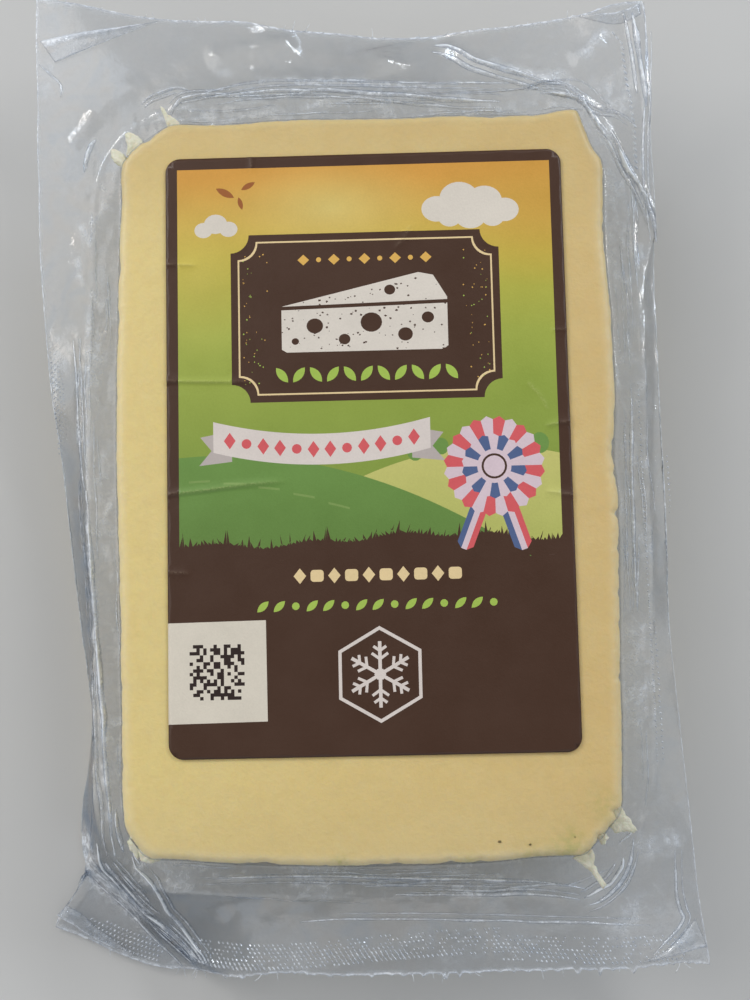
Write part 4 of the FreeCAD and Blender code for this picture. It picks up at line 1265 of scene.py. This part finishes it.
def disc(cu, cv, r, n=22, ratio=1.0, turn=0.0):
    out = []
    for k in range(n):
        t = 2 * math.pi * k / n
        a, b = r * math.cos(t), r * ratio * math.sin(t)
        out.append((cu + a * math.cos(turn) - b * math.sin(turn), cv + a * math.sin(turn) + b * math.cos(turn)))
    return out


def bar(u0, v0, u1, v1, w):
    d = math.hypot(u1 - u0, v1 - v0)
    a, b = -(v1 - v0) / d * w / 2, (u1 - u0) / d * w / 2
    return [(u0 + a, v0 + b), (u1 + a, v1 + b), (u1 - a, v1 - b), (u0 - a, v0 - b)]


def leaf(cu, cv, long, wide, turn, n=7):
    out = []
    for side in (1, -1):
        for k in range(n):
            f = k / n if side > 0 else 1 - k / n
            a, b = (f - 0.5) * long, side * wide / 2 * math.sin(math.pi * f) ** 0.8
            out.append((cu + a * math.cos(turn) - b * math.sin(turn), cv + a * math.sin(turn) + b * math.cos(turn)))
    return out


def label_fields():
    rng = random.Random(8)
    W, H = LABEL_W, LABEL_H
    B = 1.9
    art = []

    def add(ink, pts):
        art.append((ink, pts))

    L, Rr = B, W - B
    add("sky", [(L, B), (Rr, B), (Rr, 66.5), (L, 66.5)])
    # the far hill on the right and the near one on the left
    top_r = [(u, 49.0 + ((u - 52) / 24.0) ** 2 * 6.0) for u in np.linspace(22, Rr, 34)]
    add("pale_hill", top_r + [(Rr, 66.5), (22, 66.5)])
    for u, r in ((40.0, 1.3), (42.0, 1.7), (44.2, 1.2), (60.0, 1.5)):
        v = 49.0 + ((u - 52) / 24.0) ** 2 * 6.0
        add("dark_hill", disc(u, v - r * 0.7, r, 14, 1.15))
    top_l = [(u, 49.5 + ((u - 8) / 38.0) ** 2 * 10.0) for u in np.linspace(L, 58, 40)]
    add("dark_hill", top_l + [(58, 66.5), (L, 66.5)])
    for k in range(5):
        u0 = 3.5 + 5.6 * k
        add("lime_furrow", [(u, 53.4 + 1.1 * k * 0.4 + ((u - 8) / 38.0) ** 2 * 10.0) for u in np.linspace(u0, u0 + 3.4, 6)]
            + [(u, 53.75 + 1.1 * k * 0.4 + ((u - 8) / 38.0) ** 2 * 10.0) for u in np.linspace(u0 + 3.4, u0, 6)])
    # clouds
    for cu, cv, r in ((44.5, 9.6, 2.5), (48.2, 7.9, 3.2), (52.3, 8.4, 2.9), (55.6, 10.0, 2.3), (50.0, 10.8, 2.6), (46.6, 11.0, 1.9), (53.6, 11.1, 1.9)):
        add("cloud", disc(cu, cv, r, 26, 0.86))
    for cu, cv, r in ((6.2, 12.2, 1.5), (8.2, 11.2, 1.9), (10.3, 12.1, 1.5)):
        add("cloud", disc(cu, cv, r, 20, 0.86))
    # drifting leaves
    for cu, cv, l, w, t in ((9.8, 6.0, 3.4, 1.2, 0.5), (13.6, 4.9, 2.6, 0.95, -0.5), (12.3, 7.8, 2.2, 0.8, 1.3)):
        add("rust", leaf(cu, cv, l, w, t))
    # the dark plaque with scooped corners
    def plaque(inset, r):
        u0, v0, u1, v1 = 10.6 + inset, 13.2 + inset, 54.4 - inset, 41.0 - inset
        out = []
        for cu, cv, a in ((u1, v0, 180), (u1, v1, 270), (u0, v1, 0), (u0, v0, 90)):
            for k in range(9):
                t = math.radians(a - 90 * k / 8)
                out.append((cu + r * math.cos(t), cv + r * math.sin(t)))
        return out
    add("brown", plaque(0.0, 3.0))
    add("cream", plaque(1.15, 3.0))
    add("brown", plaque(1.42, 3.0))
    for _ in range(90):
        side = rng.choice((0, 1))
        u = (12.6 + rng.random() ** 2 * 4.0) if side == 0 else (52.4 - rng.random() ** 2 * 4.0)
        v = 16.5 + rng.random() * 21.5
        r = rng.uniform(0.06, 0.15)
        add("gold" if rng.random() < 0.5 else "lime", [(u - r, v), (u, v - r), (u + r, v), (u, v + r)])
    for k in range(9):
        u = 32.5 + (k - 4) * 2.5
        if k % 2:
            add("gold", disc(u, 17.6, 0.42, 10))
        else:
            add("gold", [(u - 0.95, 17.6), (u, 16.7), (u + 0.95, 17.6), (u, 18.5)])
    # a wedge of cheese
    add("chalk", [(18.8, 25.3), (41.2, 20.1), (43.6, 20.6), (45.8, 24.3), (45.8, 24.7)])
    add("chalk", [(18.8, 25.9), (45.8, 25.3), (45.8, 32.4), (44.9, 32.9), (19.6, 32.9), (18.8, 32.4)])
    for cu, cv, r in ((24.2, 28.6, 1.35), (29.0, 30.9, 0.95), (33.4, 28.2, 1.75), (38.9, 30.3, 1.2), (42.6, 27.6, 1.0), (21.0, 31.1, 0.6), (36.5, 22.9, 0.9)):
        add("brown", disc(cu, cv, r, 18, 0.92))
    for _ in range(150):
        u, v = rng.uniform(18.8, 45.8), rng.uniform(20.3, 32.9)
        r = rng.uniform(0.07, 0.26)
        t0 = rng.uniform(0, 6.3)
        if v > 26.0 or v > 25.4 - (u - 18.8) * 0.2:
            add("brown", [(u + r * rng.uniform(0.6, 1.3) * math.cos(t0 + k * 1.57), v + r * rng.uniform(0.5, 1.1) * math.sin(t0 + k * 1.57)) for k in range(4)])
    for k in range(11):
        u = 32.5 + (k - 5) * 2.75
        add("lime", leaf(u, 36.6, 3.1, 1.35, -0.9 if k % 2 else 0.9))
    # the white ribbon
    sag = lambda u: 44.0 + 2.3 * (1 - ((u - 25.0) / 17.5) ** 2)
    us = np.linspace(7.5, 42.5, 36)
    add("ribbon_shade", [(5.4, sag(9.5) + 2.0), (10.5, sag(10.5) + 0.8), (10.5, sag(10.5) + 5.8), (5.2, sag(9.5) + 6.6), (7.2, sag(9.5) + 4.2)])
    add("ribbon_shade", [(44.6, sag(9.5) + 2.0), (39.5, sag(10.5) + 0.8), (39.5, sag(10.5) + 5.8), (44.8, sag(9.5) + 6.6), (42.8, sag(9.5) + 4.2)])
    add("ribbon", [(u, sag(u)) for u in us] + [(u, sag(u) + 5.0) for u in us[::-1]])
    for k in range(12):
        u = 25.0 + (k - 5.5) * 2.7
        v = sag(u) + 2.5
        if k % 3 == 1:
            add("red", disc(u, v, 0.8, 12))
        else:
            add("red", [(u - 0.95, v), (u, v - 1.35), (u + 0.95, v), (u, v + 1.35)])
    # the grass in front, in silhouette
    blades = []
    u = L
    while u < Rr - 0.2:
        ground = 63.6 + 0.7 * math.sin(u / 9.0) + 0.4 * math.sin(u / 2.3 + 1.0)
        w = rng.uniform(0.25, 0.7)
        high = 0.35 + rng.random() ** 2 * 2.1
        lean = rng.uniform(-0.6, 0.6)
        blades += [(u, ground), (min(max(u + w / 2 + lean, L), Rr), ground - high)]
        u += w
    blades.append((Rr, 63.8))
    add("brown", blades + [(Rr, 66.6), (L, 66.6)])
    # the pleated rosette
    cu, cv = 52.6, 52.2
    for t0, w in ((1.25, 2.9), (1.95, 2.7)):
        d = (math.cos(t0), math.sin(t0))
        q = (-d[1], d[0])
        for ink, a, b in (("red", -w / 2, -w / 6), ("flag_white", -w / 6, w / 6), ("slate", w / 6, w / 2)):
            add(ink, [(cu + d[0] * 3 + q[0] * a, cv + d[1] * 3 + q[1] * a), (cu + d[0] * 3 + q[0] * b, cv + d[1] * 3 + q[1] * b),
                      (cu + d[0] * (14.6 - abs(b) * 0.9) + q[0] * b, cv + d[1] * (14.6 - abs(b) * 0.9) + q[1] * b),
                      (cu + d[0] * (14.6 - abs(a) * 0.9) + q[0] * a, cv + d[1] * (14.6 - abs(a) * 0.9) + q[1] * a)])
    for many, r0, r1, inks in ((24, 4.9, 7.9, ("red", "flag_white")), (18, 2.6, 5.1, ("slate", "flag_white"))):
        for k in range(many):
            a0, a1 = 2 * math.pi * k / many, 2 * math.pi * (k + 1) / many
            am = (a0 + a1) / 2
            add(inks[k % 2], [(cu + r0 * math.cos(a0), cv + r0 * math.sin(a0)), (cu + r1 * 0.96 * math.cos(a0), cv + r1 * 0.96 * math.sin(a0)),
                              (cu + r1 * 1.03 * math.cos(am), cv + r1 * 1.03 * math.sin(am)), (cu + r1 * 0.96 * math.cos(a1), cv + r1 * 0.96 * math.sin(a1)),
                              (cu + r0 * math.cos(a1), cv + r0 * math.sin(a1))])
    add("flag_white", disc(cu, cv, 2.75, 24))
    add("brown", disc(cu, cv, 2.05, 22))
    add("flag_white", disc(cu, cv, 1.7, 20))
    # two rows of marks below
    for k in range(10):
        u = 33.5 + (k - 4.5) * 2.75
        if k % 2:
            add("cream", rounded_rect(u - 1.05, 68.2, u + 1.05, 70.1, 0.5, 3))
        else:
            add("cream", [(u - 1.0, 69.15), (u, 67.9), (u + 1.0, 69.15), (u, 70.4)])
    for k in range(15):
        u = 33.5 + (k - 7) * 2.62
        if k % 3 == 2:
            add("lime", disc(u, 73.9, 0.62, 10))
        else:
            add("lime", leaf(u, 73.9, 2.5, 1.1, -0.75))
    # the white box with its square of dark marks
    add("white_box", [(0.0, 76.2), (15.6, 76.0), (15.7, 91.9), (0.0, 92.1)])
    m, n = 0.545, 16
    for r in range(n):
        run = None
        for c in range(n + 1):
            on = c < n and rng.random() < 0.52
            if on and run is None:
                run = c
            if not on and run is not None:
                add("black", [(3.4 + run * m, 79.7 + r * m), (3.4 + c * m, 79.7 + r * m), (3.4 + c * m, 79.7 + (r + 1) * m), (3.4 + run * m, 79.7 + (r + 1) * m)])
                run = None
    # a snow crystal in a six sided ring
    cu, cv = 33.6, 84.9
    for ink, r in (("ribbon", 7.6), ("brown", 7.0)):
        add(ink, [(cu + r * math.cos(math.radians(30 + 60 * k)), cv + r * math.sin(math.radians(30 + 60 * k))) for k in range(6)])
    for k in range(6):
        t = math.radians(60 * k + 30)
        d = (math.cos(t), math.sin(t))
        add("ribbon", bar(cu + d[0] * 0.6, cv + d[1] * 0.6, cu + d[0] * 5.2, cv + d[1] * 5.2, 0.55))
        for at, long in ((2.4, 1.6), (3.7, 1.25)):
            for turn in (0.95, -0.95):
                e = (math.cos(t + turn), math.sin(t + turn))
                add("ribbon", bar(cu + d[0] * at, cv + d[1] * at, cu + d[0] * at + e[0] * long, cv + d[1] * at + e[1] * long, 0.45))
    add("ribbon", disc(cu, cv, 0.95, 6))
    return art


def inside(pts, x, y):
    p = np.asarray(pts, float)
    x0, y0 = p[:, 0], p[:, 1]
    x1, y1 = np.roll(x0, -1), np.roll(y0, -1)
    hit = np.zeros(x.shape, bool)
    box = (x > x0.min()) & (x < x0.max()) & (y > y0.min()) & (y < y0.max())
    idx = np.nonzero(box)[0]
    if not len(idx):
        return hit
    X, Y = x[idx], y[idx]
    got = np.zeros(len(idx), bool)
    for a, b, c, d in zip(x0, y0, x1, y1):
        if b == d:
            continue
        cross = (b > Y) != (d > Y)
        got ^= cross & (X < (c - a) * (Y - b) / (d - b) + a)
    hit[idx] = got
    return hit


CREASES = (
    (0.26, 0.55, ((-0.9, 37.0), (5.5, 37.3), (12.0, 37.5), (14.8, 37.4))), (-0.16, 0.7, ((0.0, 38.2), (6.0, 38.4), (12.5, 38.3))),
    (0.28, 0.6, ((-0.9, 55.6), (6.0, 55.0), (13.0, 54.2), (20.4, 53.8))), (-0.15, 0.8, ((0.0, 56.8), (7.0, 56.1), (14.0, 55.3))),
    (0.22, 0.5, ((65.9, 45.1), (63.5, 45.4), (60.6, 45.9))), (0.2, 0.5, ((65.9, 57.2), (63.0, 56.8), (60.2, 56.3))),
    (0.18, 0.45, ((-0.9, 17.6), (3.0, 17.9), (5.6, 18.0))), (0.14, 0.5, ((-0.9, 68.0), (2.2, 68.2), (3.8, 68.3))),
    (0.12, 0.45, ((65.9, 30.0), (64.0, 30.2), (62.2, 30.2))), (0.12, 0.45, ((14.0, -0.9), (14.2, 1.4), (14.1, 2.6))),
    (0.10, 0.6, ((40.0, 12.4), (39.0, 14.4), (37.4, 16.0))), (0.10, 0.6, ((58.6, 39.0), (60.4, 41.0), (61.6, 43.6))))


def build_label():
    W, H = LABEL_W, LABEL_H
    art = label_fields()
    outline = rounded_rect(0.0, 0.0, W, H, 2.4, 10)
    verts, edges = [], []

    def ring(pts, step=1.2):
        ids = []
        for k in range(len(pts)):
            a, b = pts[k], pts[(k + 1) % len(pts)]
            parts = max(int(math.ceil(math.hypot(b[0] - a[0], b[1] - a[1]) / step)), 1)
            for q in range(parts):
                f = q / parts
                ids.append(len(verts))
                verts.append((a[0] + (b[0] - a[0]) * f, a[1] + (b[1] - a[1]) * f))
        for k in range(len(ids)):
            edges.append((ids[k], ids[(k + 1) % len(ids)]))

    ring(outline)
    for _, pts in art:
        ring([(min(max(u, 0.0), W), min(max(v, 0.0), H)) for u, v in pts])
    step = 1.05
    for u in np.arange(step / 2, W, step):
        for v in np.arange(step / 2, H, step):
            verts.append((u + 0.11 * math.sin(v * 7.0), v + 0.11 * math.sin(u * 5.0)))
    for _, wide, line in CREASES:
        p = resample([(a, b, 0.0) for a, b in line], 0.4)
        d = np.gradient(p[:, :2], axis=0)
        d /= np.linalg.norm(d, axis=1)[:, None]
        for off in (-1.3, -0.7, -0.3, 0.0, 0.3, 0.7, 1.3):
            for (a, b, _z), (da, db) in zip(p, d):
                verts.append((a - db * off * wide, b + da * off * wide))
    got = geometry.delaunay_2d_cdt([Vector(v) for v in verts], edges, [], 0, 1e-5)
    vv = np.array([tuple(v) for v in got[0]])
    tri = np.array([t for t in got[2]], int)
    c = vv[tri].mean(1)
    keep = inside(outline, c[:, 0], c[:, 1])
    tri, c = tri[keep], c[keep]
    inks = ["brown"]
    ink = np.zeros(len(tri), int)
    for name, pts in art:
        if name not in inks:
            inks.append(name)
        ink[inside(pts, c[:, 0], c[:, 1])] = inks.index(name)
    used, inv = np.unique(tri, return_inverse=True)
    tri = inv.reshape(-1, 3)
    vv = vv[used]
    # height: laid flat, with creases and a slow unevenness
    u, v = vv[:, 0], vv[:, 1]
    z = 0.02 * vnoise(u / 9.0, v / 9.0, 0, 81) + 0.008 * vnoise(u / 2.2, v / 2.2, 0, 82)
    crease = np.zeros(len(vv))
    for high, wide, line in CREASES:
        d, share = line_distance(u, v, line)
        prof = np.clip(1 - d / (wide * 1.5), 0, 1) ** 1.3 * smooth(0, 0.25, 1 - share)
        z = z + high * prof
        crease = np.maximum(crease, np.clip(1 - d / (wide * 0.55), 0, 1) * smooth(0, 0.3, 1 - share) * (1 if high > 0 else 0))
    x, y = LABEL_X0 + u, LABEL_Y1 - v
    topv = np.c_[x, y, LABEL_TOP + np.maximum(z, -0.03)]
    lowv = np.c_[x, y, np.full(len(u), LABEL_BASE + 0.005)]
    n = len(topv)
    # v runs down, so the triangles are turned to face up
    a, b, cc = topv[tri[:, 0]], topv[tri[:, 1]], topv[tri[:, 2]]
    up = np.cross(b - a, cc - a)[:, 2] > 0
    tri = np.where(up[:, None], tri, tri[:, ::-1])
    count = {}
    for t in tri:
        for q in range(3):
            e = (t[q], t[(q + 1) % 3])
            count[e] = count.get(e, 0) + 1
    rim = [e for e in count if (e[1], e[0]) not in count]
    sides = []
    for p, q in rim:
        sides.append((p, n + p, n + q, q))
    faces = [tuple(t) for t in tri] + [tuple(n + t[::-1]) for t in tri] + sides
    ob = mesh_object("printed_label", np.vstack([topv, lowv]), faces)
    me = ob.data
    slots = np.r_[ink, np.full(len(tri), len(inks)), np.full(len(sides), len(inks))].astype(np.int32)
    me.polygons.foreach_set("material_index", slots)
    flat = np.r_[np.ones(len(tri), bool), np.ones(len(tri), bool), np.zeros(len(sides), bool)]
    me.polygons.foreach_set("use_smooth", flat)
    vertex_value(ob, "crease", np.r_[crease, np.zeros(n)])
    return ob, inks


label, inks = build_label()

INK = {
    "brown": (73, 53, 43), "cloud": (209, 201, 190), "pale_hill": (189, 186, 112), "dark_hill": (105, 134, 73), "lime_furrow": (122, 148, 84),
    "rust": (150, 92, 52), "cream": (220, 196, 150), "gold": (212, 168, 88), "chalk": (210, 202, 192), "lime": (158, 184, 84),
    "ribbon_shade": (178, 168, 164), "ribbon": (210, 200, 194), "red": (205, 92, 96), "flag_white": (207, 188, 196), "slate": (82, 98, 136),
    "white_box": (209, 201, 187), "black": (52, 42, 40)}


# The sky's colours down the label, from orange overhead to green meadow.
SKY = ((0.0, (204, 147, 72)), (4.0, (205, 153, 76)), (8.0, (202, 162, 82)), (12.0, (200, 170, 84)), (17.0, (190, 174, 80)), (23.0, (172, 170, 78)),
       (30.0, (158, 168, 80)), (38.0, (142, 158, 74)), (48.0, (136, 154, 74)), (58.0, (126, 146, 72)), (66.0, (116, 138, 70)))


def ink_material(name):
    g = Nodes("print_" + name)
    fibre = g.noise(3200.0, 3.0, 0.6)
    cloudy = g.noise(160.0, 3.0, 0.55)
    if name == "sky":
        v = g.math("MULTIPLY", g.math("SUBTRACT", (MID_Y + LABEL_Y1) * 0.001, g.axis(1)), 1000.0)
        ramp = g.node("ShaderNodeValToRGB")
        stops = SKY
        cr = ramp.color_ramp
        while len(cr.elements) < len(stops):
            cr.elements.new(0.5)
        for el, (at, c) in zip(cr.elements, stops):
            el.position = at / 66.0
            el.color = tone(*c, sheen=0.026)
        g.link(g.fit(v, 0.0, 66.0), ramp.inputs[0])
        base = ramp.outputs[0]
        # the low sun behind thin cloud, and light on the meadow
        def glow(cu, cv, ru, rv):
            du = g.math("DIVIDE", g.math("SUBTRACT", g.axis(0), (MID_X + LABEL_X0 + cu) * 0.001), ru * 0.001)
            dv = g.math("DIVIDE", g.math("SUBTRACT", g.axis(1), (MID_Y + LABEL_Y1 - cv) * 0.001), rv * 0.001)
            r = g.math("SQRT", g.math("ADD", g.math("MULTIPLY", du, du), g.math("MULTIPLY", dv, dv)))
            return g.fit(r, 0.0, 1.0, 1.0, 0.0)
        base = g.mix(g.math("POWER", glow(27.0, 9.0, 20.0, 10.0), 1.5), base, tone(208, 186, 112, sheen=0.02))
        base = g.mix(g.math("MULTIPLY", glow(5.0, 20.0, 12.0, 14.0), 0.4), base, tone(200, 182, 98, sheen=0.02))
        base = g.mix(g.math("MULTIPLY", glow(6.0, 36.0, 18.0, 12.0), 0.2), base, tone(176, 180, 92, sheen=0.02))
        base = g.mix(g.math("MULTIPLY", glow(62.0, 9.0, 18.0, 14.0), 0.7), base, tone(194, 150, 70, sheen=0.024))
    elif name == "pale_hill":
        v = g.fit(g.axis(1), (MID_Y + LABEL_Y1 - 49.0) * 0.001, (MID_Y + LABEL_Y1 - 64.0) * 0.001)
        base = g.mix(v, tone(192, 188, 114, sheen=0.016), tone(172, 176, 98, sheen=0.016))
    elif name == "dark_hill":
        v = g.fit(g.axis(1), (MID_Y + LABEL_Y1 - 49.0) * 0.001, (MID_Y + LABEL_Y1 - 64.0) * 0.001)
        base = g.mix(v, tone(108, 142, 74, sheen=0.016), tone(98, 128, 66, sheen=0.016))
    elif name == "paper":
        base = tone(150, 138, 124)
        base = g.mix(fibre, base, tone(120, 108, 96))
    else:
        base = tone(*INK[name], sheen=0.016)
    dark = g.node("ShaderNodeMix", data_type="RGBA", blend_type="MULTIPLY")
    dark.inputs[0].default_value = 1.0
    g.put(dark.inputs[6], base)
    shade = g.fit(g.math("ADD", g.math("MULTIPLY", fibre, 0.5), g.math("MULTIPLY", cloudy, 0.5)), 0.35, 0.65, 0.955, 1.045)
    rgb = g.node("ShaderNodeCombineColor")
    for k in range(3):
        g.link(shade, rgb.inputs[k])
    g.link(rgb.outputs[0], dark.inputs[7])
    base = dark.outputs[2]
    if name in ("brown", "sky", "dark_hill", "pale_hill"):
        # lighter along the creases
        crease_lightening = g.math("MULTIPLY", g.attribute("crease"), g.fit(fibre, 0.4, 0.6, 0.02, 0.22))
        base = g.mix(crease_lightening, base, tone(150, 132, 112) if name == "brown" else tone(196, 192, 140))
    s = g.principled(base, g.fit(g.math("ADD", g.math("MULTIPLY", cloudy, 0.6), g.math("MULTIPLY", fibre, 0.4)), 0.3, 0.7, 0.36, 0.5),
                     Normal=g.bump(g.math("ADD", fibre, g.noise(700.0, 2.0)), 0.12, 0.0002))
    return g.finish(s)


for name in inks + ["paper"]:
    label.data.materials.append(ink_material(name))

# ---------------------------------------------------------------- ties to the construction
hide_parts("clear_pack")
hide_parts("cheese_block")
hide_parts("top_label")
for ob in [film, cheese, label] + loose + [folds, fine, dots, shreds, bits, specks]:
    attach(ob, "root")

# ---------------------------------------------------------------- studio
size = 4.0
me = bpy.data.meshes.new("floor")
me.from_pydata([(-size, -size, 0), (size, -size, 0), (size, size, 0), (-size, size, 0)], [], [(0, 1, 2, 3)])
floor = bpy.data.objects.new("floor", me)
bpy.context.scene.collection.objects.link(floor)
g = Nodes("pale_floor")
soft = g.noise(6.0, 4.0, 0.6)
floor.data.materials.append(g.finish(g.principled(g.mix(g.fit(soft, 0.35, 0.65), (0.62, 0.62, 0.617, 1.0), (0.65, 0.65, 0.647, 1.0)), 0.75, Specular_IOR_Level=0.2)))

world = bpy.data.worlds.new("studio")
world.use_nodes = True
world.node_tree.nodes["Background"].inputs[0].default_value = (0.93, 0.97, 1.0, 1.0)
world.node_tree.nodes["Background"].inputs[1].default_value = 0.209
bpy.context.scene.world = world


def area_light(name, place, aim, size_x, size_y, watts, colour):
    data = bpy.data.lights.new(name, "AREA")
    data.shape = "RECTANGLE"
    data.size, data.size_y = size_x, size_y
    data.energy = watts
    data.color = colour
    ob = bpy.data.objects.new(name, data)
    ob.location = place
    ob.rotation_euler = (Vector(aim) - Vector(place)).to_track_quat("-Z", "Y").to_euler()
    bpy.context.scene.collection.objects.link(ob)
    return ob


area_light("key", (-0.95, 0.5, 0.85), (0, 0, 0.01), 1.6, 1.6, 7.45, (1.0, 0.985, 0.96))
area_light("fill", (0.90, 0.12, 0.72), (0, 0, 0.01), 0.9, 1.0, 1.21, (0.95, 0.98, 1.0))
area_light("front", (0.05, -0.95, 0.6), (0, 0, 0.01), 1.5, 0.8, 2.11, (0.97, 0.98, 1.0))
area_light("strip_back_right", (0.62, 0.60, 0.50), (0, 0, 0.01), 0.95, 0.11, 4.3, (0.95, 0.975, 1.0))
area_light("strip_back_left", (-0.64, 0.54, 0.46), (0, 0, 0.01), 0.60, 0.10, 2.6, (1.0, 0.985, 0.96))
area_light("strip_left", (-0.80, -0.02, 0.42), (0, 0, 0.01), 0.50, 0.08, 0.3, (1.0, 0.99, 0.97))

# ---------------------------------------------------------------- camera
axis = Vector((-5.40575997, 0.97666797, -1.30335539))
R = Matrix.Rotation(math.radians(axis.length), 3, axis.normalized())
flip = Matrix(((1, 0, 0), (0, -1, 0), (0, 0, -1)))
right, up, back = flip @ Vector(R[0]), -(flip @ Vector(R[1])), -(flip @ Vector(R[2]))
data = bpy.data.cameras.new("camera")
data.sensor_width = 36.0
data.sensor_fit = "AUTO"
data.lens = 43.2
data.clip_start = 0.01
camera = bpy.data.objects.new("camera", data)
turn = Matrix((right, up, back)).transposed().to_4x4()
place = to_world((4.4229, -21.3755, 211.2839 + 0.4))
camera.matrix_world = Matrix.Translation(Vector(place)) @ turn
bpy.context.scene.collection.objects.link(camera)
bpy.context.scene.camera = camera
bpy.context.scene.view_settings.view_transform = "Standard"
bpy.context.scene.cycles.transparent_max_bounces = 32

bpy.context.view_layer.update()
